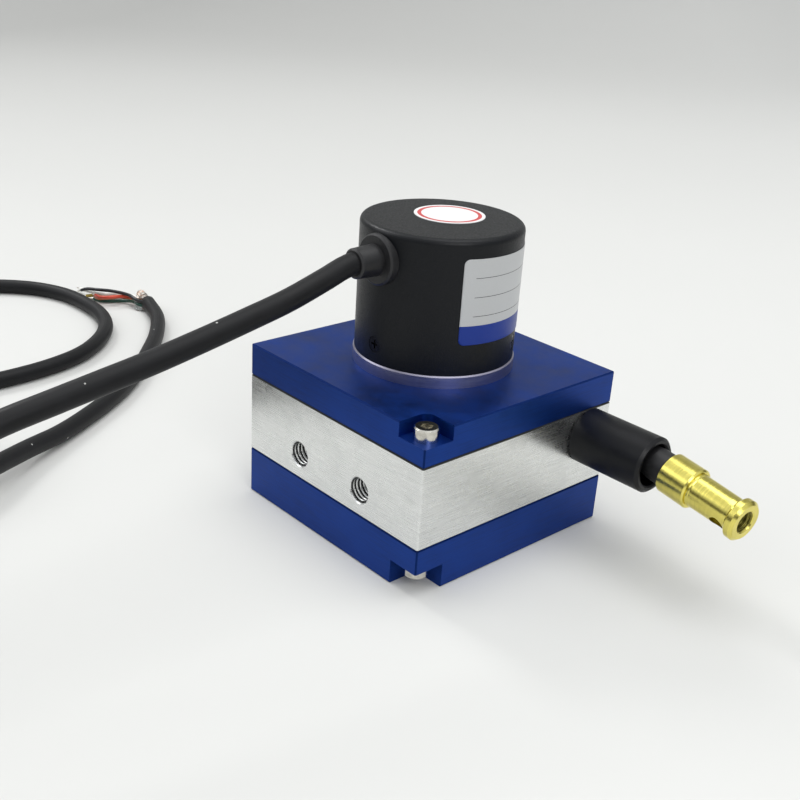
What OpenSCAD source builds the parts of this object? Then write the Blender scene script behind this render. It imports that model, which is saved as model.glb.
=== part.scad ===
// Draw wire encoder: a square housing with a spring-loaded wire drum, a sleeve that the
// wire's end fitting rests in, and a rotary encoder on top that counts the drum's turns.
// Origin: centre of the housing's underside. +Z up, +X the way the wire is drawn.

/* [Housing] */
// Side of the square housing
body_w = 62; // [61.5:0.5:72]
// Height of the bottom plate, which holds the spring
bottom_h = 12; // [12:0.5:16]
// Height of the middle frame, which holds the drum
frame_h = 20; // [19.5:0.5:26]
// Height of the top plate, which carries the encoder
top_h = 8; // [8:0.5:12]
// Bevel on the housing's edges
edge = 0.3; // [0.1:0.1:0.6]
// Side of the square notch round a corner screw
notch_w = 8.2; // [7.4:0.2:8.6]
// Radius of the notch's inner corner
notch_r = 2; // [1:0.5:3]
// Depth of the notch in the top plate
top_notch_d = 3.6; // [3.2:0.2:4.4]
// Depth of the notch in the bottom plate
bottom_notch_d = 6; // [3.4:0.2:6.4]
// Distance between the two side threads
side_thread_pitch = 22; // [14:1:26]
// Height of the side threads above the frame's underside
side_thread_h = 6.2; // [5:0.2:12]
// Diameter of the side threads
side_thread_d = 6; // [4:1:6]
// Depth of the side threads
side_thread_depth = 5.6; // [3:0.2:6]

/* [Wire and drum] */
// Distance of the wire from the drum's axis
wire_offset = 23.2; // [21:0.1:23.5]
// Height of the wire above the frame's underside
wire_h = 13.3; // [12.4:0.1:13.3]
// Diameter of the steel wire
wire_d = 0.8; // [0.4:0.1:1]
// Length of wire that can be drawn out
draw_length = 1000; // [500:50:1200]
// Height that the drum's flanges stand above the wire
flange_rise = 1.8; // [1:0.1:2.2]
// Thickness of the drum's flanges
flange_t = 1.2; // [0.8:0.1:1.5]
// Thickness of the drum's web
web_t = 3.6; // [2:0.2:4.4]
// Radius of the drum's hub
hub_r = 8; // [7.5:0.5:10]
// Number of lightening holes in the drum's web
web_holes = 6; // [3:1:8]

/* [Spring] */
// Radius of the pocket that holds the power spring
pocket_r = 22; // [19:0.5:22.5]
// Thickness of the floor under the spring
spring_floor = 5; // [4.8:0.1:5.4]
// Thickness of the spring's cover plate
cover_plate_t = 1.5; // [1.2:0.1:2]
// Thickness of the spring strip
strip_t = 0.4; // [0.2:0.1:0.5]
// Turns of the spring strip
strip_turns = 8; // [5:1:9]

/* [Outlet] */
// Length of the outlet sleeve
sleeve_l = 20.2; // [12:0.2:26]
// Radius of the outlet sleeve
sleeve_r = 6.8; // [6:0.1:6.8]
// Radius of the mouth that takes the rubber stopper
mouth_r = 5.1; // [5:0.1:5.4]
// Depth of that mouth
mouth_d = 7; // [6:0.5:9]
// Radius of the rubber stopper
stopper_r = 4; // [3.4:0.1:4]
// Angle that the end fitting hangs down at
hang = 6.4; // [0:0.2:7]
// Angle that the end fitting swings to the side
sway = 5; // [0:0.5:6]

/* [End fitting] */
// Gap between the sleeve's end and the fitting
fitting_gap = 3.9; // [3:0.1:8]
// Length of the fitting's thick part
thick_l = 7.8; // [5:0.2:10]
// Radius of the fitting's thick part
thick_r = 4.9; // [4.4:0.1:6]
// Length of the fitting's thin part
thin_l = 11.2; // [10:0.2:14]
// Radius of the fitting's thin part
thin_r = 4; // [3.5:0.1:4.2]
// Thickness of the fitting's end flange
end_t = 2.5; // [2:0.1:4]
// Radius of the fitting's end flange
end_r = 4.9; // [4.6:0.1:6]
// Diameter of the thread in the fitting's end
end_thread_d = 5; // [4:1:5]
// Depth of that thread
end_thread_depth = 6.5; // [5:0.5:7]
// Diameter of the hole in the thin part's side
pin_hole_d = 3.6; // [2:0.2:4]
// Distance of that hole from the fitting's end
pin_hole_from_end = 4.9; // [4.7:0.1:6]
// Turn of that hole round the fitting's axis
pin_hole_turn = -50; // [-90:5:90]

/* [Encoder] */
// Radius of the encoder's cover
cover_r = 19; // [18.6:0.2:22]
// Height of the encoder above the housing
encoder_h = 34.3; // [33.5:0.1:40]
// Wall of the cover
cover_wall = 1.5; // [1:0.1:1.8]
// Thickness of the cover's top
cover_top_t = 2; // [1.2:0.1:2.4]
// Radius of the cover's rounded rim
rim_r = 1.4; // [0.6:0.2:1.8]
// Height of the base ring that shows under the cover
ring_h = 2.9; // [2:0.1:4]
// Height of the cover screws above the housing
cover_screw_h = 7.3; // [6:0.1:9]
// Radius of the encoder's shaft
shaft_r = 3; // [2.5:0.25:3]
// Radius of the code disc
disc_r = 11.5; // [10.5:0.25:11.75]
// Number of windows in the code disc
disc_windows = 60; // [24:4:72]
// Height of the cable's outlet above the housing
outlet_h = 27.4; // [27:0.1:27.6]

/* [Cable] */
// Diameter of the signal cable
cable_d = 5; // [4.6:0.1:5]
// Radius of the grommet's flange
grommet_r = 5.8; // [5:0.1:6.4]
// Length of the grommet's boss
grommet_l = 6; // [4:0.5:10]
// Radius of the middle of the stored coil
coil_r = 26; // [26:0.5:27]

/* [Hidden] */
$fn = 64;
e = 0.01;
snug = 0.03; // radial clearance of pieces that are fixed in each other
run_gap = 0.3; // clearance between faces that move past each other
half = body_w / 2;
frame_z = bottom_h;
top_z = frame_z + frame_h;
deck_z = top_z + top_h;

// Socket head cap screws, M3
cap_r = 2.75;
cap_h = 3;
cap_shank_r = 1.47;
cap_hole_r = 1.5;
cap_clear_r = 1.7;
cap_bite = 8; // length of thread in the frame
cap_key = 2.5; // width of the hexagon socket
cap_in = notch_w / 2; // screw axis from both sides of the notch
encoder_cap_bite = 7;
encoder_bolt_r = 14.5;
encoder_bolt_turn = 90;

// Small countersunk screws, M2
flat_r = 1.8;
flat_t = 1;
flat_shank_r = 0.95;
flat_l = 5;
slot_w = 0.45;
slot_d = 0.5;

// Chamber, drum and shaft
wire_z = frame_z + wire_h;
wire_r = wire_d / 2;
wire_gap = 0.1;
wire_pitch = wire_d + wire_gap;
wire_turns = ceil(draw_length / (2 * PI * wire_offset));
groove_r = wire_offset - wire_r - wire_gap;
flange_r = wire_offset + flange_rise;
chamber_r = flange_r + 1;
band_top = wire_z + wire_r + 2 * wire_gap;
band_bottom = wire_z - (wire_turns - 1) * wire_pitch - wire_r - 2 * wire_gap;
drum_top = band_top + flange_t;
drum_bottom = band_bottom - flange_t;
rim_t = 2.2;
boss_r = 6.2; // raised face that meets the upper bearing's inner ring
boss_t = 0.5;
web_hole_r = 3;
web_hole_at = (hub_r + groove_r - rim_t) / 2;
grub_r = 1.45;
grub_below = 2.4; // grub screw below the frame's top
tube_r = 5; // drum shaft
arbor_r = 6;
arbor_slot_w = strip_t + 0.3;
journal_r = 4;
encoder_shaft_in = 9; // length of the encoder's shaft inside the drum shaft
flat_cut = 0.4; // flat that the grub screw bears on

// Ball bearings: [bore radius, outer radius, width, height of the underside]
foot_bearing = [journal_r, 6, 3.5, spring_floor - 3.8];
head_bearing = [tube_r, 9.5, 5, top_z];
low_bearing = [shaft_r, 6.5, 5, deck_z - 2.2];
high_bearing = [shaft_r, 6.5, 5, deck_z + 7];
drum_bearings = [foot_bearing, head_bearing];
encoder_bearings = [low_bearing, high_bearing];
ball_share = 0.28; // ball radius as a share of the space between bore and rim
ball_gap = 0.03;
ball_count = 9;

// Spring
arbor_top = frame_z + run_gap;
strip_lift = 0.25;
strip_h = bottom_h - cover_plate_t - spring_floor - 2 * strip_lift;
strip_in = arbor_r + run_gap + strip_t / 2;
strip_out = pocket_r - 0.9;
strip_steps = 24; // points in a turn
anchor_r = 0.7;
anchor_turn = 2.6;
ledge = 3;
spring_cover_turn = 60;
plate_r = pocket_r + ledge;
plate_hole_r = arbor_r + 0.6;

// Outlet
spigot_r = 5;
spigot_l = 8;
bush_r = 2.5;
bush_bore = wire_r + 0.25;
outlet_x = half + sleeve_l; // sleeve's end, where the fitting hangs from
stopper_in = 4.2;
wire_joint = 0.2;
stopper_bore = 0.6;
stopper_flare = 1.7; // radius of the funnel that the wire enters by
stopper_flare_l = 3;
lean_y = 0.85; // the fitting leans in the sleeve's mouth, this far off the wire's line
lean_z = 0.3;

// End fitting, lengths from the sleeve's end
thick_z = fitting_gap;
thin_z = thick_z + thick_l;
end_z = thin_z + thin_l;
tip_z = end_z + end_t;
ferrule_r = 1.7;
ferrule_l = 2.6;
ferrule_z = tip_z - end_thread_depth - ferrule_l;

// Encoder
ring_r = cover_r + 0.3;
ring_z = deck_z + ring_h;
lid_z = deck_z + encoder_h;
inner_r = cover_r - cover_wall;
spigot_top = deck_z + 12;
base_r = inner_r - 0.1;
pilot_r = 10;
pilot_h = 2.5;
lip_r = 5.4;
cover_screw_z = deck_z + cover_screw_h;
cover_screw_turn = -90;
disc_z = deck_z + 19;
disc_t = 0.4;
disc_hub_r = 6;
disc_hub_h = 3;
clamp_r = 5.5;
clamp_h = 1.2;
window_in = disc_r - 3;
window_out = disc_r - 0.8;
shaft_top = disc_z + disc_t + clamp_h + 0.4;
board_z = disc_z + 3;
board_t = 1.6;
board_r = base_r - 0.9;
board_flat = inner_r - 2.6; // the board stops here, in front of the grommet
pillar_r = 1.7;
pillar_at = base_r - pillar_r - 1.3;
eye_at = (window_in + window_out) / 2;
eye_turn = 30;
eye_l = 4;
eye_w = 6;
label_t = 0.12;
label_gap = 0.02;
label_h = 19.8;
label_low = 10.3;
label_from = -28.5;
label_turn = 120;
badge_r = 8.3;
badge_x = -1.3;
badge_y = 3.3;

// Grommet and cable
cable_r = cable_d / 2;
outlet_z = deck_z + outlet_h;
grommet_bore = cable_r + 0.05;
neck_r = 4.4;
flange_out = 1.3;
flange_in_r = 5;
flange_in_t = 1.1;
boss_out_r = 3.6;
cable_sides = 10;
jacket_in = 13.5; // where the jacket ends inside the cover
lead_r = 0.45;
lead_pitch = 0.95;
lead_l = 4.5;

// Route of the cable from the cover to the coil, at the cable's own axis
cable_route = [
    [0, -jacket_in, outlet_z], [0, -20, outlet_z], [0, -27, outlet_z], [0, -34, 65.2],
    [0, -43, 62.4], [0, -54, 59.9], [0, -65, 57.6], [0, -76, 55.5], [0, -86, 53.9], [0, -96, 52.3],
    [-0.5, -106, 50.4], [-1.5, -116, 47.3], [-4, -126, 42.5], [-8, -136, 36], [-14, -145, 28],
    [-23, -152, 19], [-34, -158, 11], [-46, -162, 5.5], [-59, -164, 3], [-72, -164.5, 2.5],
    [-85, -164, 2.5], [-98, -162, 2.5], [-111, -159, 2.5], [-124, -154.5, 2.5], [-137, -149, 2.5],
    [-149, -142.5, 2.5], [-161, -134.5, 2.5], [-172, -125, 2.5], [-182, -115, 2.5],
    [-191, -104, 2.5], [-199, -92, 2.5], [-206, -80, 2.5], [-211.5, -67, 2.5], [-215, -54, 2.5],
    [-215.5, -41, 2.5], [-213, -29, 2.5], [-207, -18, 2.5], [-198.5, -9.5, 2.5], [-187, -4, 2.5],
    [-174, -2.5, 2.5], [-161, -3.5, 2.5], [-149.5, -8, 2.5], [-139.5, -16, 2.5],
    [-131.5, -27, 2.5], [-127.5, -39, 2.5], [-126, -51, 2.5], [-126, -64, 2.5], [-126, -77, 2.5],
    [-126, -90, 2.5], [-126, -100, 2.5]
];
coil_x = -94.8;
coil_y = -110;
coil_z = 6.8; // axis of the cable where it leaves the coil's upper layer
// Route of the cable from the coil to its stripped end
tail_route = [
    [-66, -112.5, coil_z], [-63.5, -103, 7.2], [-63, -94, 7.2], [-65.5, -85.5, 6.8], [-70.5, -77.5, 5.6],
    [-75.5, -69.5, 4.4], [-81.5, -58.5, 3], [-89.5, -45, 2.5], [-98.5, -31.5, 2.5], [-109.5, -19, 2.5],
    [-121.5, -8, 2.5], [-135, 3, 2.5], [-149, 11.5, 2.5], [-165, 17, 2.5]
];
tail_end = tail_route[len(tail_route) - 1];
core_r = 0.6;
core_sides = 6;
// Route and colour of each insulated core, from inside the jacket to its tip
cores = [
    [[0.08, 0.08, 0.08], [[-163, 16.3, 3.9], [-167, 15.5, 4.6], [-172, 12.4, 4.9], [-177.5, 9.8, 4.7],
        [-183, 6.8, 3.8], [-189, 3, 2.4]]],
    [[0.7, 0.55, 0.2], [[-163, 17.5, 3.2], [-167.3, 16, 3.2], [-173, 13.2, 3.4], [-179, 10, 3.2],
        [-184.5, 7, 2.6], [-190.5, 4, 1.6]]],
    [[0.9, 0.9, 0.88], [[-163, 17.5, 1.8], [-167.6, 16, 1.8], [-173.4, 13, 1.8], [-179.8, 9.8, 1.6],
        [-185.5, 7.4, 1.2], [-191.5, 6, 1.6]]],
    [[0.75, 0.2, 0.1], [[-163, 15.1, 3.2], [-166.2, 14, 3.4], [-169.8, 10.8, 3.8], [-172.6, 6.6, 3.6],
        [-176, 3.8, 3], [-182, 2.6, 2.6]]],
    [[0.8, 0.4, 0.1], [[-163, 15.1, 1.8], [-166.4, 13.8, 1.9], [-170.4, 10.4, 2.2], [-173.6, 6.6, 2],
        [-178, 4.2, 1.7], [-184.5, 3.2, 0.9]]],
    [[0.1, 0.35, 0.2], [[-163, 16.3, 1.1], [-167, 15, 0.9], [-171.5, 11.2, 0.8], [-175.2, 7.6, 0.8],
        [-179.5, 5.6, 0.8], [-184.5, 5.2, 0.8]]]
];
screen_steps = 6;
screen_start = 1.9; // height over the jacket's axis
screen_tip = [-169.5, 23.5, 3.5];
screen_bow = [-168, 19.5, 7];

blue = [0.08, 0.17, 0.48];
silver = [0.78, 0.78, 0.76];
nickel = [0.7, 0.68, 0.64];
steel = [0.55, 0.56, 0.58];
brass = [0.78, 0.66, 0.22];
black = [0.07, 0.07, 0.08];
rubber = [0.05, 0.05, 0.06];
white = [0.9, 0.9, 0.88];
green = [0.08, 0.33, 0.16];

// ---------- General shapes ----------

// Points of an arc, for outlines
function arc(x, y, r, from, to, n = 6) =
    [for (i = [0:n]) let (a = from + (to - from) * i / n) [x + r * cos(a), y + r * sin(a)]];

// Square block with bevelled edges, standing on z = 0
module bevelled_block(w, h, c) {
    intersection() {
        linear_extrude(h) bevelled_outline(w, w, c);
        translate([0, w / 2, h / 2]) rotate([90, 0, 0]) linear_extrude(w) bevelled_outline(w, h, c);
        translate([-w / 2, 0, h / 2]) rotate([90, 0, 90]) linear_extrude(w) bevelled_outline(w, h, c);
    }
}

module bevelled_outline(w, h, c) {
    x = w / 2;
    y = h / 2;
    polygon([
        [c - x, -y], [x - c, -y], [x, c - y], [x, y - c],
        [x - c, y], [c - x, y], [-x, y - c], [-x, c - y]
    ]);
}

// A revolved outline given as [radius, height] points
module turned(points) {
    rotate_extrude() polygon(points);
}

// Puts an upright shape on the wire's axis, its base at x
module on_wire(x) {
    translate([x, wire_offset, wire_z]) rotate([0, 90, 0]) children();
}

// Puts an upright shape on the hanging fitting's axis, measured from the sleeve's end
module on_fitting() {
    translate([outlet_x, wire_offset + lean_y, wire_z + lean_z]) rotate([0, hang + 90, -sway]) children();
}

// Puts an upright shape at the cable outlet, pointing out of the cover, its base at depth y
module on_outlet(y) {
    translate([0, -y, outlet_z]) rotate([90, 0, 0]) children();
}

// Two opposite corners of the housing, at the notched corner and turned half round
module corners() {
    for (a = [0, 180]) rotate([0, 0, a]) translate([half, -half, 0]) children();
}

// Repeats a shape round the Z axis at radius r
module around(count, r, from = 0) {
    for (i = [0:count - 1]) rotate([0, 0, from + i * 360 / count]) translate([r, 0, 0]) children();
}

// Cut for a corner notch, with its inner corner rounded
module notch(depth) {
    straight = notch_w - notch_r;
    out = 1;
    translate([-straight, -out, 0]) cube([straight + out, notch_w + out, depth]);
    translate([-notch_w, -out, 0]) cube([notch_w + out, straight + out, depth]);
    translate([-straight, straight, 0]) cylinder(r = notch_r, h = depth);
}

// Socket head cap screw: head above z = 0, shank of length l below
module cap_screw(l) {
    color(nickel) difference() {
        turned([
            [0, -l], [cap_shank_r - 0.4, -l], [cap_shank_r, 0.4 - l], [cap_shank_r, 0],
            [cap_r, 0], [cap_r, cap_h - 0.3], [cap_r - 0.3, cap_h], [0, cap_h]
        ]);
        translate([0, 0, cap_h / 2]) cylinder(r = cap_key / sqrt(3), h = cap_h, $fn = 6);
    }
}

// Countersunk cross-head screw: face at z = 0, body below
module flat_screw(l) {
    color(black) difference() {
        turned([
            [0, -l], [flat_shank_r, -l], [flat_shank_r, -flat_t], [flat_r, -0.1], [flat_r, 0], [0, 0]
        ]);
        for (a = [0, 90]) rotate([0, 0, a]) translate([-flat_r * 0.6, -slot_w / 2, -slot_d])
            cube([flat_r * 1.2, slot_w, slot_d + 1]);
    }
}

// Hole for a countersunk screw, with a little room round the head
module flat_screw_hole(l) {
    turned([
        [0, -l - snug], [flat_shank_r + snug, -l - snug], [flat_shank_r + snug, -flat_t - snug],
        [flat_r + 0.1, -0.1], [flat_r + 0.1, 1], [0, 1]
    ]);
}

// ---------- Ball bearings ----------

function track(b) = (b[0] + b[1]) / 2;
function ball_r(b) = (b[1] - b[0]) * ball_share;
function race(b) = (b[1] - b[0]) * 0.3;

module bearing_outer(b) {
    color(steel) translate([0, 0, b[3]]) difference() {
        cylinder(r = b[1] - snug, h = b[2]);
        translate([0, 0, -1]) cylinder(r = b[1] - race(b), h = b[2] + 2);
        translate([0, 0, b[2] / 2]) rotate_extrude() translate([track(b), 0]) circle(r = ball_r(b) + ball_gap);
    }
}

module bearing_inner(b) {
    color(steel) translate([0, 0, b[3]]) difference() {
        cylinder(r = b[0] + race(b), h = b[2]);
        translate([0, 0, -1]) cylinder(r = b[0] + snug, h = b[2] + 2);
        translate([0, 0, b[2] / 2]) rotate_extrude() translate([track(b), 0]) circle(r = ball_r(b) + ball_gap);
    }
}

module bearing_balls(b) {
    color(steel) translate([0, 0, b[3] + b[2] / 2]) around(ball_count, track(b)) sphere(r = ball_r(b));
}

// ---------- Housing ----------

module bottom_plate() {
    color(blue) difference() {
        bevelled_block(body_w, bottom_h, edge);
        corners() translate([0, 0, bottom_notch_d - bottom_h]) notch(bottom_h);
        corners() translate([-cap_in, cap_in, 0]) cylinder(r = cap_clear_r, h = bottom_h + 1);
        translate([0, 0, spring_floor]) cylinder(r = pocket_r, h = bottom_h);
        translate([0, 0, bottom_h - cover_plate_t]) cylinder(r = plate_r + snug, h = bottom_h);
        translate([0, 0, foot_bearing[3]]) cylinder(r = foot_bearing[1], h = bottom_h);
        spring_anchor() translate([0, 0, spring_floor - 2]) cylinder(r = anchor_r + snug, h = bottom_h);
        spring_cover_screw_places() flat_screw_hole(flat_l);
    }
}

module bottom_plate_screws() {
    corners() translate([-cap_in, cap_in, bottom_notch_d]) rotate([180, 0, 0])
        cap_screw(bottom_h - bottom_notch_d + cap_bite);
}

module middle_frame() {
    color(silver) translate([0, 0, frame_z]) difference() {
        bevelled_block(body_w, frame_h, edge);
        translate([0, 0, -1]) cylinder(r = chamber_r, h = frame_h + 2);
        corners() translate([-cap_in, cap_in, -1]) cylinder(r = cap_hole_r, h = cap_bite + 1.5);
        corners() translate([-cap_in, cap_in, frame_h - cap_bite - 0.5])
            cylinder(r = cap_hole_r, h = cap_bite + 1.5);
        side_threads();
        translate([0, 0, -frame_z]) on_wire(half - spigot_l) cylinder(r = spigot_r + snug, h = spigot_l + 1);
        translate([0, 0, -frame_z]) on_wire(0) cylinder(r = bush_r, h = half);
    }
}

// Two tapped holes in the frame's side, with a small chamfer at the mouth
module side_threads() {
    r = side_thread_d / 2;
    for (x = [-side_thread_pitch / 2, side_thread_pitch / 2])
        translate([x, -half, side_thread_h]) rotate([-90, 0, 0]) turned([
            [0, -1], [r + 1.3, -1], [r, 0.3], [r, side_thread_depth], [0, side_thread_depth + r * 0.4]
        ]);
}

module top_plate() {
    color(blue) translate([0, 0, top_z]) difference() {
        bevelled_block(body_w, top_h, edge);
        corners() translate([0, 0, top_h - top_notch_d]) notch(top_h);
        corners() translate([-cap_in, cap_in, -1]) cylinder(r = cap_clear_r, h = top_h + 2);
        translate([0, 0, -1]) cylinder(r = head_bearing[1], h = head_bearing[2] + 1);
        translate([0, 0, -1]) cylinder(r = head_bearing[1] - 1.5, h = top_h + 2);
        translate([0, 0, top_h - pilot_h]) cylinder(r = pilot_r + snug, h = pilot_h + 1);
        around(3, encoder_bolt_r, encoder_bolt_turn) {
            translate([0, 0, -1]) cylinder(r = cap_clear_r, h = top_h + 2);
            translate([0, 0, -1]) cylinder(r = cap_r + 0.25, h = cap_h + 1.3);
        }
    }
}

module top_plate_screws() {
    corners() translate([-cap_in, cap_in, deck_z - top_notch_d]) cap_screw(top_h - top_notch_d + cap_bite);
}

// ---------- Spring ----------

function strip_pitch() = (strip_out - strip_in) / strip_turns;
function strip_at(i, side) =
    let (a = i * 360 / strip_steps, r = strip_in + strip_pitch() * i / strip_steps + side * strip_t / 2)
    [r * cos(a), r * sin(a)];

// Flat spiral strip between the arbor and the anchor pin
module power_spring() {
    last = strip_turns * strip_steps;
    inside = [for (i = [0:last]) strip_at(i, -1)];
    outside = [for (i = [last:-1:0]) strip_at(i, 1)];
    color(steel) translate([0, 0, spring_floor + strip_lift]) linear_extrude(strip_h) polygon(concat(inside, outside));
}

module spring_anchor() {
    rotate([0, 0, anchor_turn]) translate([strip_out, 0, 0]) children();
}

module spring_anchor_pin() {
    color(steel) spring_anchor() translate([0, 0, spring_floor - 2])
        cylinder(r = anchor_r, h = 2 + strip_h + strip_lift);
}

module spring_cover_screw_places() {
    around(3, pocket_r + ledge / 2 - 0.3, spring_cover_turn) translate([0, 0, bottom_h]) children();
}

module spring_cover_plate() {
    color(silver) difference() {
        translate([0, 0, bottom_h - cover_plate_t]) cylinder(r = plate_r, h = cover_plate_t);
        cylinder(r = plate_hole_r, h = bottom_h + 1);
        spring_cover_screw_places() flat_screw_hole(flat_l);
    }
}

module spring_cover_screws() {
    spring_cover_screw_places() translate([0, 0, -0.02]) flat_screw(flat_l);
}

// ---------- Drum and shaft ----------

module drum_bearing_outers() {
    for (b = drum_bearings) bearing_outer(b);
}

module drum_bearing_balls() {
    for (b = drum_bearings) bearing_balls(b);
}

module drum_bearing_inners() {
    for (b = drum_bearings) bearing_inner(b);
}

// Hollow shaft with the spring's arbor at its foot and a bore for the encoder's shaft
module drum_shaft() {
    head_top = head_bearing[3] + head_bearing[2];
    bore_z = head_top - encoder_shaft_in - 4;
    color(steel) difference() {
        turned([
            [0, foot_bearing[3] + 0.2], [journal_r, foot_bearing[3] + 0.2],
            [journal_r, spring_floor + strip_lift], [arbor_r, spring_floor + strip_lift],
            [arbor_r, arbor_top], [tube_r, arbor_top], [tube_r, head_top],
            [shaft_r + snug, head_top], [shaft_r + snug, bore_z], [0, bore_z - 1]
        ]);
        translate([0, -arbor_slot_w / 2, spring_floor]) cube([arbor_r + 1, arbor_slot_w, strip_h + 0.5]);
        grub_places() cylinder(r = grub_r + snug, h = hub_r);
    }
}

module grub_places() {
    for (a = [0, 90]) rotate([0, 0, a]) translate([0, 0, top_z - grub_below]) rotate([0, 90, 0]) children();
}

// Drum with the wire's groove between two flanges, a drilled web and a clamping hub
module drum() {
    web_low = (drum_top + drum_bottom - web_t) / 2;
    web_high = web_low + web_t;
    rim_in = groove_r - rim_t;
    color(white) difference() {
        turned([
            [tube_r + snug, arbor_top], [hub_r, arbor_top], [hub_r, web_low], [rim_in, web_low],
            [rim_in + 0.6, drum_bottom], [flange_r - 0.4, drum_bottom], [flange_r, drum_bottom + 0.4],
            [flange_r, band_bottom - 0.2], [groove_r, band_bottom],
            [groove_r, band_top], [flange_r, band_top + 0.2], [flange_r, drum_top - 0.4],
            [flange_r - 0.4, drum_top], [rim_in + 0.6, drum_top], [rim_in, web_high],
            [hub_r, web_high], [hub_r, top_z - boss_t], [boss_r, top_z - boss_t],
            [boss_r, top_z], [tube_r + snug, top_z]
        ]);
        around(web_holes, web_hole_at, 180 / web_holes) translate([0, 0, web_low - 1])
            cylinder(r = web_hole_r, h = web_t + 2);
        grub_places() cylinder(r = grub_r + snug, h = hub_r + 1);
    }
}

module drum_grub_screws() {
    color(black) grub_places() difference() {
        translate([0, 0, shaft_r - flat_cut + 0.05]) cylinder(r = grub_r, h = hub_r - shaft_r + flat_cut - 0.3);
        translate([0, 0, hub_r - 1.6]) cylinder(r = 0.87, h = 3, $fn = 6);
    }
}

// Turns of wire on the drum; the top one ends where the straight wire leaves it
module wound_wire() {
    color(steel) {
        for (i = [1:wire_turns - 1]) translate([0, 0, wire_z - i * wire_pitch]) rotate_extrude()
            translate([wire_offset, 0]) circle(r = wire_r, $fn = 24);
        translate([0, 0, wire_z]) rotate([0, 0, 90]) rotate_extrude(angle = 325)
            translate([wire_offset, 0]) circle(r = wire_r, $fn = 24);
    }
}

// Wire from the drum through the bush, slanting to the stopper's funnel and on down the fitting
module draw_wire() {
    bush_end = half + sleeve_l - mouth_d + run_gap;
    inside = stopper_in / 2;
    a = [bush_end, wire_offset, wire_z];
    b = [outlet_x, wire_offset + lean_y, wire_z + lean_z]
        - inside * [cos(hang) * cos(sway), -cos(hang) * sin(sway), -sin(hang)];
    slant = b - a;
    color(steel) {
        on_wire(0) cylinder(r = wire_r, h = bush_end + wire_joint, $fn = 24);
        translate(a) rotate([0, acos(slant[2] / norm(slant)), atan2(slant[1], slant[0])])
            cylinder(r = wire_r, h = norm(slant) + wire_joint, $fn = 24);
        on_fitting() translate([0, 0, -inside])
            cylinder(r = wire_r, h = ferrule_z + ferrule_l + inside, $fn = 24);
    }
}

// ---------- Outlet ----------

module outlet_sleeve() {
    shoulder = sleeve_l - mouth_d;
    color(black) on_wire(half) turned([
        [bush_r, -spigot_l], [spigot_r, -spigot_l], [spigot_r, 0], [sleeve_r - 0.3, 0],
        [sleeve_r, 0.3], [sleeve_r, sleeve_l - 0.7], [sleeve_r - 0.7, sleeve_l],
        [mouth_r + 0.4, sleeve_l], [mouth_r, sleeve_l - 0.4], [mouth_r, shoulder],
        [bush_r, shoulder]
    ]);
}

module wire_bush() {
    low = -spigot_l;
    high = sleeve_l - mouth_d - 0.5;
    flare = 0.9;
    color(brass) on_wire(half) turned([
        [bush_bore + flare, low], [bush_r - snug, low], [bush_r - snug, high],
        [bush_bore + flare, high], [bush_bore, high - flare], [bush_bore, low + flare]
    ]);
}

module rubber_stopper() {
    color(rubber) on_fitting() turned([
        [stopper_flare, -stopper_in], [stopper_r - 0.9, -stopper_in], [stopper_r - 0.6, 0.5 - stopper_in],
        [stopper_r, 0], [stopper_r, thick_z - 0.5], [stopper_r - 0.2, thick_z], [stopper_bore, thick_z],
        [stopper_bore, stopper_flare_l - stopper_in]
    ]);
}

// Turned end fitting: thick collar, thin neck and flange, tapped at its end and drilled in its side
module wire_connector() {
    thread_r = end_thread_d / 2;
    wire_bore = wire_r + 0.2;
    color(brass) on_fitting() difference() {
        turned([
            [wire_bore, thick_z], [thick_r - 0.3, thick_z], [thick_r, thick_z + 0.3],
            [thick_r, thin_z - 0.4], [thick_r - 0.4, thin_z], [thin_r + 0.15, thin_z],
            [thin_r + 0.15, thin_z + 0.6], [thin_r, thin_z + 0.8], [thin_r - 0.1, end_z - 1.6],
            [thin_r - 0.2, end_z - 0.3], [thin_r + 0.1, end_z], [end_r - 0.5, end_z],
            [end_r, end_z + 0.5], [end_r, tip_z - 0.7], [end_r - 0.7, tip_z],
            [thread_r + 0.3, tip_z], [thread_r, tip_z - 0.3], [thread_r, ferrule_z + ferrule_l],
            [ferrule_r + 0.05, ferrule_z + ferrule_l], [ferrule_r + 0.05, ferrule_z],
            [wire_bore, ferrule_z]
        ]);
        rotate([0, 0, pin_hole_turn]) translate([0, 0, tip_z - pin_hole_from_end]) rotate([0, 90, 0])
            cylinder(d = pin_hole_d, h = thick_r);
    }
}

module wire_ferrule() {
    color(nickel) on_fitting() turned([
        [wire_r + 0.03, ferrule_z], [ferrule_r, ferrule_z], [ferrule_r, ferrule_z + ferrule_l - 0.3],
        [ferrule_r - 0.3, ferrule_z + ferrule_l], [wire_r + 0.03, ferrule_z + ferrule_l]
    ]);
}

// ---------- Encoder ----------

// Flange that carries both bearings, with the ring that shows under the cover
module encoder_base() {
    seat_r = low_bearing[1];
    seat_top = low_bearing[3] + low_bearing[2];
    color(silver) difference() {
        turned([
            [seat_r, deck_z - pilot_h], [pilot_r, deck_z - pilot_h], [pilot_r, deck_z],
            [ring_r, deck_z], [ring_r, ring_z - 0.3], [ring_r - 0.3, ring_z], [base_r, ring_z],
            [base_r, spigot_top - 0.4], [base_r - 0.4, spigot_top], [seat_r, spigot_top],
            [seat_r, high_bearing[3]], [lip_r, high_bearing[3]], [lip_r, seat_top],
            [seat_r, seat_top]
        ]);
        around(3, encoder_bolt_r, encoder_bolt_turn) translate([0, 0, deck_z - 1])
            cylinder(r = cap_hole_r, h = encoder_cap_bite + 1.5);
        cover_screw_places() flat_screw_hole(flat_l + 0.5);
        board_screw_holes();
    }
}

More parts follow.
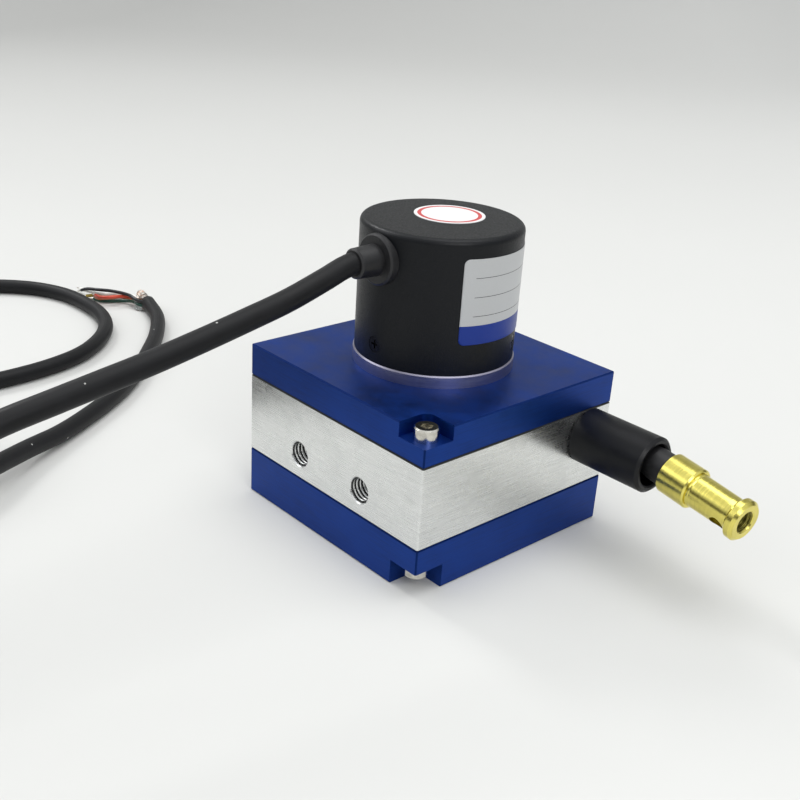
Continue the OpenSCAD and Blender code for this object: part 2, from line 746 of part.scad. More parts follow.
// Screws that stand head down, their shanks up through the top plate into the encoder's base
module encoder_mount_screws() {
    seat = cap_h + 0.3;
    around(3, encoder_bolt_r, encoder_bolt_turn) translate([0, 0, top_z + seat]) rotate([180, 0, 0])
        cap_screw(top_h - seat + encoder_cap_bite);
}

module encoder_bearing_outers() {
    for (b = encoder_bearings) bearing_outer(b);
}

module encoder_bearing_balls() {
    for (b = encoder_bearings) bearing_balls(b);
}

module encoder_bearing_inners() {
    for (b = encoder_bearings) bearing_inner(b);
}

// Shaft from the drum's bore up to the code disc, with a flat for each grub screw
module encoder_shaft() {
    foot = head_bearing[3] + head_bearing[2] - encoder_shaft_in;
    color(nickel) difference() {
        turned([
            [0, foot], [shaft_r - 0.4, foot], [shaft_r, foot + 0.4], [shaft_r, shaft_top - 0.3],
            [shaft_r - 0.3, shaft_top], [0, shaft_top]
        ]);
        for (a = [0, 90]) rotate([0, 0, a]) translate([shaft_r - flat_cut, -shaft_r, foot - 1])
            cube([shaft_r, 2 * shaft_r, encoder_shaft_in - 0.5]);
    }
}

module disc_hub() {
    color(brass) translate([0, 0, disc_z - disc_hub_h]) difference() {
        cylinder(r = disc_hub_r, h = disc_hub_h);
        translate([0, 0, -1]) cylinder(r = shaft_r + snug, h = disc_hub_h + 2);
    }
}

// Thin metal disc with a ring of windows and one index slot
module code_disc() {
    window_w = 2 * PI * window_in / disc_windows / 2;
    color(nickel) translate([0, 0, disc_z]) difference() {
        cylinder(r = disc_r, h = disc_t);
        translate([0, 0, -1]) cylinder(r = shaft_r + snug, h = disc_t + 2);
        around(disc_windows, window_in) translate([0, -window_w / 2, -1])
            cube([window_out - window_in, window_w, disc_t + 2]);
        translate([window_in - 2, -window_w / 2, -1]) cube([1.2, window_w, disc_t + 2]);
    }
}

module disc_clamp() {
    color(brass) translate([0, 0, disc_z + disc_t]) difference() {
        cylinder(r = clamp_r, h = clamp_h);
        translate([0, 0, -1]) cylinder(r = shaft_r + snug, h = clamp_h + 2);
    }
}

// Lamp under the disc, standing on the base
module led_emitter() {
    body_h = disc_z - spigot_top - 1.8;
    color(black) rotate([0, 0, eye_turn]) translate([eye_at, 0, spigot_top]) {
        translate([-1.8, -2.6, 0]) cube([3.6, 5.2, body_h]);
        translate([0, 0, body_h]) cylinder(r = 1.2, h = 0.8);
    }
}

// Light sensor over the disc, under the board
module light_sensor() {
    gap = 0.6;
    color(black) rotate([0, 0, eye_turn]) translate([eye_at - eye_l / 2, -eye_w / 2, disc_z + disc_t + gap])
        cube([eye_l, eye_w, board_z - disc_z - disc_t - gap]);
}

module board_pillars() {
    color(brass) around(3, pillar_at, encoder_bolt_turn) translate([0, 0, spigot_top])
        difference() {
            cylinder(r = pillar_r, h = board_z - spigot_top);
            translate([0, 0, -1]) cylinder(r = flat_shank_r + snug, h = board_z - spigot_top + 2);
        }
}

module board_screw_holes() {
    around(3, pillar_at, encoder_bolt_turn) translate([0, 0, spigot_top - 2])
        cylinder(r = flat_shank_r + snug, h = 3);
}

module circuit_board() {
    color(green) translate([0, 0, board_z]) difference() {
        cylinder(r = board_r, h = board_t);
        translate([0, 0, -1]) cylinder(r = shaft_r + 1.5, h = board_t + 2);
        translate([-board_r, -board_flat - board_r, -1]) cube([2 * board_r, board_r, board_t + 2]);
        around(3, pillar_at, encoder_bolt_turn) translate([0, 0, -1])
            cylinder(r = flat_shank_r + snug, h = board_t + 2);
    }
}

// Pan head screws that hold the board down on its pillars
module board_screws() {
    color(nickel) around(3, pillar_at, encoder_bolt_turn) translate([0, 0, board_z + board_t]) difference() {
        union() {
            cylinder(r = flat_r, h = 1.2);
            translate([0, 0, spigot_top - board_z - board_t - 1.5])
                cylinder(r = flat_shank_r, h = board_z + board_t - spigot_top + 1.6);
        }
        translate([-flat_r, -slot_w / 2, 0.7]) cube([2 * flat_r, slot_w, 1]);
    }
}

// Header that the cable's leads are soldered to
module board_header() {
    base = board_z + board_t;
    color(white) translate([-3.2, -jacket_in + lead_l, base]) cube([6.4, 3, outlet_z + 1.2 - base]);
}

module inner_leads() {
    color(silver) for (i = [-2:2]) translate([i * lead_pitch, 0, 0])
        on_outlet(jacket_in - lead_l) cylinder(r = lead_r, h = lead_l);
}

// Points from the shell's inside foot up and round the rim to the middle of its top
module encoder_cover() {
    rim = arc(cover_r - rim_r, lid_z - rim_r, rim_r, 0, 90);
    color(black) difference() {
        turned(concat(
            [[inner_r, ring_z + 0.05], [cover_r, ring_z + 0.05]], rim,
            [[0, lid_z], [0, lid_z - cover_top_t], [inner_r, lid_z - cover_top_t]]
        ));
        on_outlet(0) cylinder(r = neck_r + snug, h = cover_r + 1);
        cover_screw_places() flat_screw_hole(flat_l);
    }
}

// Radial places of the cover's screws, faces turned outwards
module cover_screw_places() {
    around(3, 0, cover_screw_turn) translate([cover_r - 0.15, 0, cover_screw_z]) rotate([0, 90, 0]) children();
}

module cover_screws() {
    cover_screw_places() flat_screw(flat_l);
}

module side_label() {
    color(white) rotate([0, 0, label_from]) rotate_extrude(angle = label_turn)
        translate([cover_r + label_gap, deck_z + label_low]) square([label_t, label_h]);
}

module top_label() {
    color(white) translate([badge_x, badge_y, lid_z + label_gap]) cylinder(r = badge_r, h = label_t);
}

// ---------- Cable ----------

// Rubber grommet: flanges inside and outside the cover's wall, a neck and a long boss
module cable_grommet() {
    boss_end = cover_r + flange_out + grommet_l;
    color(rubber) difference() {
        union() {
            difference() {
                on_outlet(cover_r - 3) turned([
                    [0, 0], [grommet_r, 0], [grommet_r, 2.6 + flange_out], [grommet_r - 0.4, 3 + flange_out],
                    [boss_out_r, 3 + flange_out], [boss_out_r - 0.2, 2.6 + flange_out + grommet_l],
                    [boss_out_r - 0.6, 3 + flange_out + grommet_l], [0, 3 + flange_out + grommet_l]
                ]);
                cylinder(r = cover_r + snug, h = lid_z + 1);
            }
            on_outlet(inner_r - flange_in_t) cylinder(r = neck_r, h = cover_r + 0.5 - inner_r + flange_in_t);
            intersection() {
                on_outlet(inner_r - flange_in_t) cylinder(r = flange_in_r, h = cover_wall + flange_in_t);
                cylinder(r = inner_r - snug, h = lid_z - cover_top_t);
            }
        }
        on_outlet(0) cylinder(r = grommet_bore, h = boss_end + 1);
    }
}

function unit(v) = v / norm(v);
function along(p, i) = unit(p[min(i + 1, len(p) - 1)] - p[max(i - 1, 0)]);

// Points of a ring round point i of a route, square to the route
function ring(p, i, r, n) =
    let (t = along(p, i), side = unit(cross(t, [0, 0, 1])), up = cross(side, t))
    [for (k = [0:n - 1]) p[i] + r * (cos(360 * k / n - 90) * side + sin(360 * k / n - 90) * up)];

// Tube swept along a route's own points
module swept(p, r, n) {
    last = len(p) - 1;
    polyhedron(
        points = [for (i = [0:last]) each ring(p, i, r, n)],
        faces = concat(
            [[for (k = [0:n - 1]) k]],
            [for (i = [0:last - 1]) for (k = [0:n - 1])
                [i * n + k, (i + 1) * n + k, (i + 1) * n + (k + 1) % n, i * n + (k + 1) % n]],
            [[for (k = [n - 1:-1:0]) last * n + k]]
        )
    );
}

// Curve from a by way of b to c
function curve(a, b, c, n) =
    [for (i = [0:n]) let (t = i / n) a * (1 - t) * (1 - t) + 2 * b * t * (1 - t) + c * t * t];

module signal_cable() {
    color(rubber) swept(cable_route, cable_r, cable_sides);
}

// Outer shape of the stored coil: three turns wide on the floor, two turns above them
module cable_coil() {
    wide = 1.5 * cable_d + 0.3;
    color(rubber) translate([coil_x, coil_y, 0]) turned([
        [coil_r - wide + 1, 0], [coil_r + wide - 1, 0], [coil_r + wide, 1], [coil_r + wide, 4],
        [coil_r + cable_d, coil_z + cable_r - 1], [coil_r + cable_d - 1, coil_z + cable_r],
        [coil_r - cable_d + 1, coil_z + cable_r], [coil_r - cable_d, coil_z + cable_r - 1],
        [coil_r - wide, 4], [coil_r - wide, 1]
    ]);
}

module cable_tail() {
    color(rubber) swept(tail_route, cable_r, cable_sides);
}

// Insulated cores that fan out of the stripped end
module cable_cores() {
    for (core = cores) color(core[0]) swept(core[1], core_r, core_sides);
}

// Twisted copper screen, folded back at the stripped end
module cable_screen() {
    color([0.72, 0.45, 0.3]) swept(
        curve(tail_end + [0, 0, screen_start], screen_bow, screen_tip, screen_steps), core_r, core_sides
    );
}

bottom_plate();
bottom_plate_screws();
spring_anchor_pin();
power_spring();
spring_cover_plate();
spring_cover_screws();
middle_frame();
top_plate();
top_plate_screws();
drum_bearing_outers();
drum_bearing_balls();
drum_bearing_inners();
drum_shaft();
drum();
drum_grub_screws();
wound_wire();
draw_wire();
outlet_sleeve();
wire_bush();
rubber_stopper();
wire_connector();
wire_ferrule();
encoder_base();
encoder_mount_screws();
encoder_bearing_outers();
encoder_bearing_balls();
encoder_bearing_inners();
encoder_shaft();
disc_hub();
code_disc();
disc_clamp();
led_emitter();
light_sensor();
board_pillars();
circuit_board();
board_screws();
board_header();
inner_leads();
encoder_cover();
cover_screws();
side_label();
top_label();
cable_grommet();
signal_cable();
cable_coil();
cable_tail();
cable_cores();
cable_screen();
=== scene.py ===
"""Looks of a draw wire encoder, built round its CAD frame: the cable, its stripped end and its
stored coil, the labels, the threads, the drawn wire, and a finish for every part."""

import math
from functools import reduce

import bpy
import numpy as np
from bpy.props import FloatProperty, FloatVectorProperty, PointerProperty
from mathutils import Matrix, Vector


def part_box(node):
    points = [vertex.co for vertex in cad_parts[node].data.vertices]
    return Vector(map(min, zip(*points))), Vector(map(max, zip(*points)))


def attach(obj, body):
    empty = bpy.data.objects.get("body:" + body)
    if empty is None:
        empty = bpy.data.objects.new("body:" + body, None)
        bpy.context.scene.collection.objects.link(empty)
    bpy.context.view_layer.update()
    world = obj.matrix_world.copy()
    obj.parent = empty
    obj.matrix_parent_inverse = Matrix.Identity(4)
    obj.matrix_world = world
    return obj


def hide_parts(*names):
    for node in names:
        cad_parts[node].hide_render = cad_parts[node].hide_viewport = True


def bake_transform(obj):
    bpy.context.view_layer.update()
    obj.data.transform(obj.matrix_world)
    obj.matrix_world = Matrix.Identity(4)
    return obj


bl_info = {
    "name": "Draw wire encoder",
    "version": (1, 0, 0),
    "blender": (4, 5, 0),
    "location": "3D View > Sidebar > Encoder",
    "description": "Builds the cable, labels, threads and finishes of a draw wire encoder",
    "category": "Object",
}

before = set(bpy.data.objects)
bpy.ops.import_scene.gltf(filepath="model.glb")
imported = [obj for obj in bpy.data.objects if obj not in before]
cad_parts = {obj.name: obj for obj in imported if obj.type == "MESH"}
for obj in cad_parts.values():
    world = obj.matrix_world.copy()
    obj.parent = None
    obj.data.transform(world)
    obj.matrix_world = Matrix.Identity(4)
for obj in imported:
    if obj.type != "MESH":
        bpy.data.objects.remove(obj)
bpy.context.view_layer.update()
MM = 0.001

# Places on the CAD frame, in millimetres
DECK_Z = 40.0  # top of the housing
BODY_HALF = 31.0
FRAME_Z = (12.0, 32.0)  # underside and top of the silver middle frame
WIRE_Y, WIRE_Z = 23.2, 25.3
OUTLET_X = 51.2  # end of the outlet sleeve, where the end fitting hangs from
MOUTH_X = 44.5  # bottom of the sleeve's mouth
HANG, SWAY = math.radians(6.4), math.radians(5)
LEAN_Y, LEAN_Z = 0.85, 0.3  # how far off the wire's line the fitting starts
TIP = 25.4  # end of the fitting, from the sleeve's end
STOPPER_IN = 4.2
END_THREAD = 6.5  # depth of the thread in the fitting
COVER_R = 19.0
COIL = (-94.8, -110.0)  # middle of the stored coil
COIL_R = 26.0
LAYER_Z = 6.8  # cable axis in the coil's upper layer
REST_Z = 2.5  # cable axis on the floor
COIL_TURNS = (192.0, 1800.0)  # where the cable joins and leaves the coil, in degrees
TIE_T = 0.9  # thickness of the tie round the coil
TIE_TURN = 225.0  # where the tie is on the coil
SIDE_HOLE_X, SIDE_HOLE_Z = 11.0, 18.2  # the tapped holes in the housing's side
DIAGONAL = 0.707  # the stage looks along a diagonal

# Route of the cable's axis from the encoder to the coil, as in the CAD part
CABLE_ROUTE = [
    (0, -13.5, 67.4), (0, -20, 67.4), (0, -27, 67.4), (0, -34, 65.2), (0, -43, 62.4),
    (0, -54, 59.9), (0, -65, 57.6), (0, -76, 55.5), (0, -86, 53.9), (0, -96, 52.3),
    (-0.5, -106, 50.4), (-1.5, -116, 47.3), (-4, -126, 42.5), (-8, -136, 36), (-14, -145, 28),
    (-23, -152, 19), (-34, -158, 11), (-46, -162, 5.5), (-59, -164, 3), (-72, -164.5, 2.5),
    (-85, -164, 2.5), (-98, -162, 2.5), (-111, -159, 2.5), (-124, -154.5, 2.5),
    (-137, -149, 2.5), (-149, -142.5, 2.5), (-161, -134.5, 2.5), (-172, -125, 2.5),
    (-182, -115, 2.5), (-191, -104, 2.5), (-199, -92, 2.5), (-206, -80, 2.5),
    (-211.5, -67, 2.5), (-215, -54, 2.5), (-215.5, -41, 2.5), (-213, -29, 2.5),
    (-207, -18, 2.5), (-198.5, -9.5, 2.5), (-187, -4, 2.5), (-174, -2.5, 2.5),
    (-161, -3.5, 2.5), (-149.5, -8, 2.5), (-139.5, -16, 2.5), (-131.5, -27, 2.5),
    (-127.5, -39, 2.5), (-126, -51, 2.5), (-126, -64, 2.5), (-126, -77, 2.5),
    (-126, -90, 2.5), (-126, -100, 2.5),
]
# Route from the coil to the stripped end
TAIL_ROUTE = [
    (-60.5, -104, 7.3), (-62, -94, 7.2), (-65.5, -85.5, 6.8), (-70.5, -77.5, 5.6),
    (-75.5, -69.5, 4.4), (-81.5, -58.5, 3), (-89.5, -45, 2.5), (-98.5, -31.5, 2.5), (-109.5, -19, 2.5),
    (-121.5, -8, 2.5), (-135, 3, 2.5), (-149, 11.5, 2.5), (-164.2, 16.7, 2.5),
]
# Insulated cores: colour, and route from the stripped end to the tip
CORES = {
    "black": ((0.01, 0.01, 0.012), [
        (-162.5, 15.2, 3.2), (-165.7, 13.2, 3.6), (-169.8, 12.9, 4.1), (-175.7, 9.1, 4.8),
        (-180.3, 5.6, 4.7), (-185.3, 3.6, 3.9), (-188.4, 2.9, 2.6)]),
    "green": ((0.008, 0.06, 0.04), [
        (-162.5, 15.2, 1.8), (-165.5, 13.5, 2), (-170, 13.7, 1.8), (-173.4, 13, 1.1), (-176, 10.9, 0.7),
        (-177.6, 8.1, 0.7), (-179.4, 6.1, 0.7), (-182.6, 4.8, 0.7)]),
    "red": ((0.5, 0.05, 0.02), [
        (-162.5, 16.3, 2.5), (-168.6, 15.4, 2), (-172, 14.1, 2.7), (-172.9, 11, 3.3), (-173, 8.4, 3.6),
        (-174, 5.7, 3.6), (-176.6, 4.4, 3.2), (-180.5, 4.5, 2.8)]),
    "orange": ((0.5, 0.13, 0.035), [
        (-162.5, 16.3, 1.1), (-169.9, 16, 0.8), (-174.2, 15.3, 1), (-175.9, 12.5, 1.9), (-176.1, 9.3, 2.2),
        (-177, 6.9, 2.2), (-179.2, 5.3, 1.8), (-183.3, 5.5, 1.7)]),
    "white": ((0.75, 0.75, 0.71), [
        (-162.5, 17.5, 3.2), (-169.8, 16.7, 2.3), (-174.5, 16.1, 2.1), (-178, 13.9, 2.1), (-178.9, 10.9, 2.6),
        (-179.9, 7.9, 2.8), (-182.2, 6.1, 2.9), (-186, 4.8, 2.6), (-193.3, 4.9, 1.6)]),
    "yellow": ((0.42, 0.3, 0.05), [
        (-162.5, 17.5, 1.8), (-170.5, 18.2, 1), (-176.5, 17.5, 0.7), (-180, 14.5, 0.9), (-181.6, 11.4, 1.4),
        (-183.2, 9, 1.5), (-183.9, 7, 1.4), (-185.2, 5.5, 1.1), (-186.9, 4, 0.7)]),
}


# ---------- Sizes and colours that a user may change ----------


def tint(name, description, *color):
    return FloatVectorProperty(name=name, description=description, subtype="COLOR", default=color)


def size(name, description, metres):
    return FloatProperty(name=name, description=description, default=metres, unit="LENGTH")


class CableSettings(bpy.types.PropertyGroup):
    """Sizes and colours of the signal cable."""

    diameter: size("Diameter", "Outside diameter of the cable", 0.005)
    core_diameter: size("Core diameter", "Diameter of an insulated core", 0.0012)
    jacket: tint("Jacket", "Colour of the jacket", 0.005, 0.0052, 0.006)
    tie: tint("Tie", "Colour of the tie round the coil", 0.02, 0.02, 0.021)


class HousingSettings(bpy.types.PropertyGroup):
    """Colours of the housing."""

    anodised: tint("Anodised plates", "Colour of the two anodised plates", 0.0055, 0.038, 0.225)
    aluminium: tint("Aluminium", "Colour of the bare middle frame", 0.76, 0.77, 0.76)
    cover: tint("Cover", "Colour of the encoder's painted cover", 0.0022, 0.003, 0.0045)


class LabelSettings(bpy.types.PropertyGroup):
    """Sizes and colours of the labels."""

    corner: size("Corner", "Radius of the side label's corners", 0.0013)
    paper: tint("Paper", "Colour of the side label", 0.5, 0.51, 0.515)
    band: tint("Band", "Colour of the side label's band", 0.004, 0.028, 0.23)
    ring: tint("Ring", "Colour of the ring on the top label", 0.55, 0.04, 0.04)


class FittingSettings(bpy.types.PropertyGroup):
    """Sizes and colours of the wire and its end fitting."""

    brass: tint("Brass", "Colour of the end fitting", 0.8, 0.7, 0.17)
    end_pitch: size("End thread pitch", "Pitch of the thread in the fitting", 0.0008)
    side_pitch: size("Side thread pitch", "Pitch of the threads in the housing's side", 0.001)
    wire_diameter: size("Wire diameter", "Diameter of the drawn wire", 0.0008)


class StageSettings(bpy.types.PropertyGroup):
    """Camera and floor."""

    camera: FloatVectorProperty(
        name="Camera", description="Place of the camera", subtype="XYZ", unit="LENGTH",
        default=(0.1770, -0.1765, 0.13813),
    )
    turn: FloatVectorProperty(
        name="Turn", description="Turn of the camera", subtype="EULER", unit="ROTATION",
        default=(1.155479, -0.060074, 0.841737),
    )
    lens: FloatProperty(name="Lens", description="Focal length in millimetres", default=50.15)
    floor: tint("Floor", "Colour of the floor", 0.65, 0.65, 0.628)


GROUPS = {
    "encoder_cable": CableSettings,
    "encoder_housing": HousingSettings,
    "encoder_labels": LabelSettings,
    "encoder_fitting": FittingSettings,
    "encoder_stage": StageSettings,
}


# ---------- Surfaces ----------


def mesh_from_grid(name, grid, wrap_rows=False, wrap_columns=True, ends=None, uv=None):
    """A mesh whose vertices are a grid of points, row after row, with a quad between neighbours.

    Rows or columns that wrap are joined last to first. ends closes the first and last row, each
    round its own middle point. uv gives a place on the print for each point of the grid."""
    rows, columns = grid.shape[:2]
    index = np.arange(rows * columns).reshape(rows, columns)
    down = index if not wrap_rows else np.vstack([index, index[:1]])
    both = down if not wrap_columns else np.hstack([down, down[:, :1]])
    quads = np.stack([both[:-1, :-1], both[:-1, 1:], both[1:, 1:], both[1:, :-1]], -1).reshape(-1, 4)
    vertices = grid.reshape(-1, 3)
    faces = quads.tolist()
    if ends:
        middles = np.stack([grid[0].mean(0), grid[-1].mean(0)])
        vertices = np.vstack([vertices, middles])
        first, last = rows * columns, rows * columns + 1
        start = np.stack([np.roll(index[0], -1), index[0], np.full(columns, first)], -1)
        finish = np.stack([index[-1], np.roll(index[-1], -1), np.full(columns, last)], -1)
        faces += start.tolist() + finish.tolist()
    mesh = bpy.data.meshes.new(name)
    mesh.from_pydata((vertices * MM).tolist(), [], faces)
    if uv is not None:
        corner = np.zeros(len(mesh.loops), np.int32)
        mesh.loops.foreach_get("vertex_index", corner)
        flat = np.vstack([uv.reshape(-1, 2), np.repeat(uv.reshape(-1, 2)[:1], 2, 0)])
        mesh.uv_layers.new(name="UVMap").data.foreach_set("uv", flat[corner].astype(np.float32).ravel())
    mesh.validate()
    mesh.shade_smooth()
    if ends or (wrap_rows and wrap_columns):
        corners = vertices[quads]
        inside = np.einsum("ij,ij->", corners.mean(1), np.cross(corners[:, 2] - corners[:, 0],
                                                                corners[:, 3] - corners[:, 1]))
        if inside < 0:
            mesh.flip_normals()
    return mesh


def piece(name, mesh, body, material, replaces=()):
    """Puts a mesh in the scene as a piece that rides a body, with its material."""
    thing = bpy.data.objects.new(name, mesh)
    bpy.context.scene.collection.objects.link(thing)
    mesh.materials.append(material)
    if body:
        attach(thing, body)
    if replaces:
        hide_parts(*replaces)
    return thing


def smooth_line(points, step):
    """Even points along the curve through the given ones.

    Each stretch is the cubic whose slope at a point is the mean of its two neighbours' slopes,
    weighted by the distance to the other one."""
    points = np.asarray(points, float)
    gaps = np.linalg.norm(np.diff(points, axis=0), axis=1)
    place = np.concatenate([[0], np.cumsum(gaps)])
    slopes = np.diff(points, axis=0) / gaps[:, None]
    weight = (gaps[1:] / (gaps[1:] + gaps[:-1]))[:, None]
    inner = slopes[:-1] * weight + slopes[1:] * (1 - weight)
    tangent = np.vstack([slopes[:1], inner, slopes[-1:]])

    def at(s):
        i = np.clip(np.searchsorted(place, s, side="right") - 1, 0, len(gaps) - 1)
        g, t = gaps[i][:, None], ((s - place[i]) / gaps[i])[:, None]
        return (
            points[i] * (1 + 2 * t) * (1 - t) ** 2 + points[i + 1] * t * t * (3 - 2 * t)
            + g * tangent[i] * t * (1 - t) ** 2 - g * tangent[i + 1] * t * t * (1 - t)
        )

    fine = at(np.linspace(0, place[-1], 8 * len(points) + int(place[-1] / step)))
    run = np.concatenate([[0], np.cumsum(np.linalg.norm(np.diff(fine, axis=0), axis=1))])
    even = np.linspace(0, run[-1], max(4, int(round(run[-1] / step)) + 1))
    return np.stack([np.interp(even, run, fine[:, k]) for k in range(3)], -1)


def directions(line):
    """Unit vectors along a line, to its side and up, at each of its points."""
    along = np.gradient(line, axis=0)
    along /= np.linalg.norm(along, axis=1)[:, None]
    side = np.cross(along, (0, 0, 1.0))
    side /= np.linalg.norm(side, axis=1)[:, None]
    return along, side, np.cross(side, along)


def tube_mesh(name, line, radius, sides, round_end=0.0):
    """A tube: a circle of the given radius carried along the line, square to it.

    radius is one number or one for each point. round_end draws the last and first rings in as a
    quarter circle of that size. The UV map is the share of a turn and the distance run."""
    _, side, up = directions(line)
    run = np.concatenate([[0], np.cumsum(np.linalg.norm(np.diff(line, axis=0), axis=1))])
    radius = np.broadcast_to(np.asarray(radius, float), run.shape).copy()
    if round_end:
        near = np.clip(np.minimum(run, run[-1] - run) / round_end, 0, 1)
        radius -= round_end * (1 - np.sqrt(1 - (1 - near) ** 2))
    turn = np.arange(sides) * 2 * np.pi / sides
    ring = np.cos(turn)[None, :, None] * side[:, None] + np.sin(turn)[None, :, None] * up[:, None]
    grid = line[:, None] + radius[:, None, None] * ring
    uv = np.stack(np.broadcast_arrays(turn[None] / (2 * np.pi), run[:, None] * MM), -1)
    return mesh_from_grid(name, grid, ends=True, uv=uv)


def on_fitting(points):
    """Points given as (x, y, distance from the sleeve's end) moved onto the hanging fitting."""
    turn = np.array(Matrix.Rotation(-SWAY, 3, "Z") @ Matrix.Rotation(HANG + math.pi / 2, 3, "Y"))
    return points @ turn.T + (OUTLET_X, WIRE_Y + LEAN_Y, WIRE_Z + LEAN_Z)


def thread_grid(radius, depth, pitch, length, lead_in):
    """The inside of a tapped hole, along +Z from 0 down to -length.

    At turn a and depth z the radius is the outer radius less a triangle wave of (z / pitch + a),
    which fades out over the lead-in at the mouth. A plain outer wall behind it closes the shell."""
    turns = np.arange(72) * 2 * np.pi / 72
    z = np.linspace(0, -length, int(12 * length / pitch))[:, None]
    wave = np.abs(2 * np.mod(z / pitch + turns / (2 * np.pi), 1) - 1)
    crest = np.clip(1.6 * wave - 0.3, 0, 1)
    inner = radius - depth * crest * np.clip(-z / lead_in - 0.3, 0, 1)
    wall = np.full((2, len(turns)), radius + 0.04)
    r = np.vstack([inner, wall])
    depth_z = np.vstack([z, [[-length]], [[0]]])
    return np.stack([r * np.cos(turns), r * np.sin(turns), np.broadcast_to(depth_z, r.shape)], -1)


# ---------- Materials ----------


class Finish:
    """A material under construction. Each call adds one shader node and returns its output."""

    def __init__(self, name, color, metallic=0.0, roughness=0.5, **more):
        self.material = bpy.data.materials.new(name)
        self.material.use_nodes = True
        self.nodes = self.material.node_tree.nodes
        self.links = self.material.node_tree.links
        self.shader = self.nodes["Principled BSDF"]
        self.material.diffuse_color = (*color[:3], 1.0)
        self.set(self.shader, "Base Color", (*color[:3], 1.0))
        self.set(self.shader, "Metallic", metallic)
        self.set(self.shader, "Roughness", roughness)
        for key, value in more.items():
            self.set(self.shader, key.replace("_", " "), value)

    def set(self, node, name, value):
        socket = node.inputs[name]
        if isinstance(value, bpy.types.NodeSocket):
            self.links.new(value, socket)
        else:
            socket.default_value = value

    def into(self, name, value):
        """Drives one of the surface's inputs."""
        self.set(self.shader, name, value)
        return self

    def node(self, kind, inputs):
        made = self.nodes.new(kind)
        for key, value in inputs.items():
            self.set(made, key, value)
        return made.outputs[0]

    def place(self, scale=(1, 1, 1), turn=(0, 0, 0), shift=(0, 0, 0), uv=False):
        """The point on the piece, or on its UV map, scaled, turned and shifted."""
        source = self.nodes.new("ShaderNodeTexCoord").outputs["UV" if uv else "Object"]
        return self.node(
            "ShaderNodeMapping", {"Vector": source, "Scale": scale, "Rotation": turn, "Location": shift}
        )

    def noise(self, where, size, detail=3.0, roughness=0.5):
        """Cloudy noise whose features are about size metres."""
        return self.node(
            "ShaderNodeTexNoise",
            {"Vector": where, "Scale": 1 / size, "Detail": detail, "Roughness": roughness},
        )

    def specks(self, where, size):
        """Distance to the nearest of scattered points."""
        return self.node("ShaderNodeTexVoronoi", {"Vector": where, "Scale": 1 / size})

    def math(self, operation, a, b=0.0):
        made = self.nodes.new("ShaderNodeMath")
        made.operation = operation
        self.set(made, 0, a)
        self.set(made, 1, b)
        return made.outputs[0]

    def span(self, value, low, high, to_low=0.0, to_high=1.0):
        """Value taken from the span low to high onto another span, clamped."""
        return self.node(
            "ShaderNodeMapRange",
            {"Value": value, "From Min": low, "From Max": high, "To Min": to_low, "To Max": to_high},
        )

    def axis(self, where, which):
        """One of the three coordinates of a point."""
        split = self.nodes.new("ShaderNodeSeparateXYZ")
        self.links.new(where, split.inputs[0])
        return split.outputs[which]

    def length(self, x, y):
        """How far the point (x, y) is from the origin."""
        return self.math("SQRT", self.math("ADD", self.math("MULTIPLY", x, x), self.math("MULTIPLY", y, y)))

    def mix(self, share, a, b):
        """Colour a going over to colour b."""
        made = self.nodes.new("ShaderNodeMix")
        made.data_type = "RGBA"
        self.set(made, 0, share)
        for socket, value in ((6, a), (7, b)):
            self.set(made, socket, value if isinstance(value, bpy.types.NodeSocket) else (*value[:3], 1.0))
        return made.outputs[2]

    def bump(self, height, depth):
        """Tilts the surface by a height map whose full height is depth metres."""
        return self.node("ShaderNodeBump", {"Height": height, "Distance": depth, "Strength": 1.0})


def shade(color, factor):
    """A colour made lighter or darker."""
    return tuple(min(1.0, c * factor) for c in color[:3])


def edge_distance(f, half, low, high):
    """How far a point is from the nearest edge of an upright block.

    It is the second smallest of the distances to the three pairs of faces."""
    where = f.place()
    x = f.math("SUBTRACT", half * MM, f.math("ABSOLUTE", f.axis(where, 0)))
    y = f.math("SUBTRACT", half * MM, f.math("ABSOLUTE", f.axis(where, 1)))
    middle, tall = (low + high) / 2 * MM, (high - low) / 2 * MM
    z = f.math("SUBTRACT", tall, f.math("ABSOLUTE", f.math("SUBTRACT", f.axis(where, 2), middle)))
    pairs = [f.math("MAXIMUM", a, b) for a, b in ((x, y), (y, z), (x, z))]
    return f.math("MINIMUM", f.math("MINIMUM", pairs[0], pairs[1]), pairs[2])


def anodised(name, color, low, high):
    """Anodised plate: fine brushing along its length under the dye, faint cloudiness, chipped edges, and
    painted shade along the edges.
    """
    f = Finish(name, color, metallic=0.9, roughness=0.4)
    where = f.place()
    brushed = f.noise(f.place(scale=(0.03, 0.03, 1)), 0.00022, 4.0, 0.65)
    cloudy = f.noise(where, 0.012, 3.0)
    fine = f.noise(where, 0.00009, 2.0)
    tint = f.mix(f.span(brushed, 0.35, 0.65), shade(color, 0.82), shade(color, 1.2))
    tint = f.mix(f.span(cloudy, 0.35, 0.7, 0.0, 0.35), tint, shade(color, 1.45))
    near = edge_distance(f, BODY_HALF, low, high)
    edge = f.span(near, 0.25 * MM, 0.45 * MM, 1.0, 0.0)
    chips = f.math("GREATER_THAN", f.noise(where, 0.0022, 4.0, 0.75), f.span(near, 0.0, 0.6 * MM, 0.64, 0.9))
    # Painted shade: the colour is darkened along the plate's edges, so that the chamfers catch less light.
    tint = f.mix(f.math("MULTIPLY", edge, 0.6), tint, shade(color, 0.3))
    f.into("Base Color", f.mix(chips, tint, (0.5, 0.53, 0.6)))
    grain = f.span(f.math("ADD", brushed, f.math("MULTIPLY", fine, 0.4)), 0.4, 1.0, 0.34, 0.54)
    f.into("Roughness", f.math("MAXIMUM", grain, f.math("MULTIPLY", edge, 0.75)))
    return f.into("Normal", f.bump(f.math("ADD", brushed, f.math("MULTIPLY", fine, 0.5)), 0.000004)).material


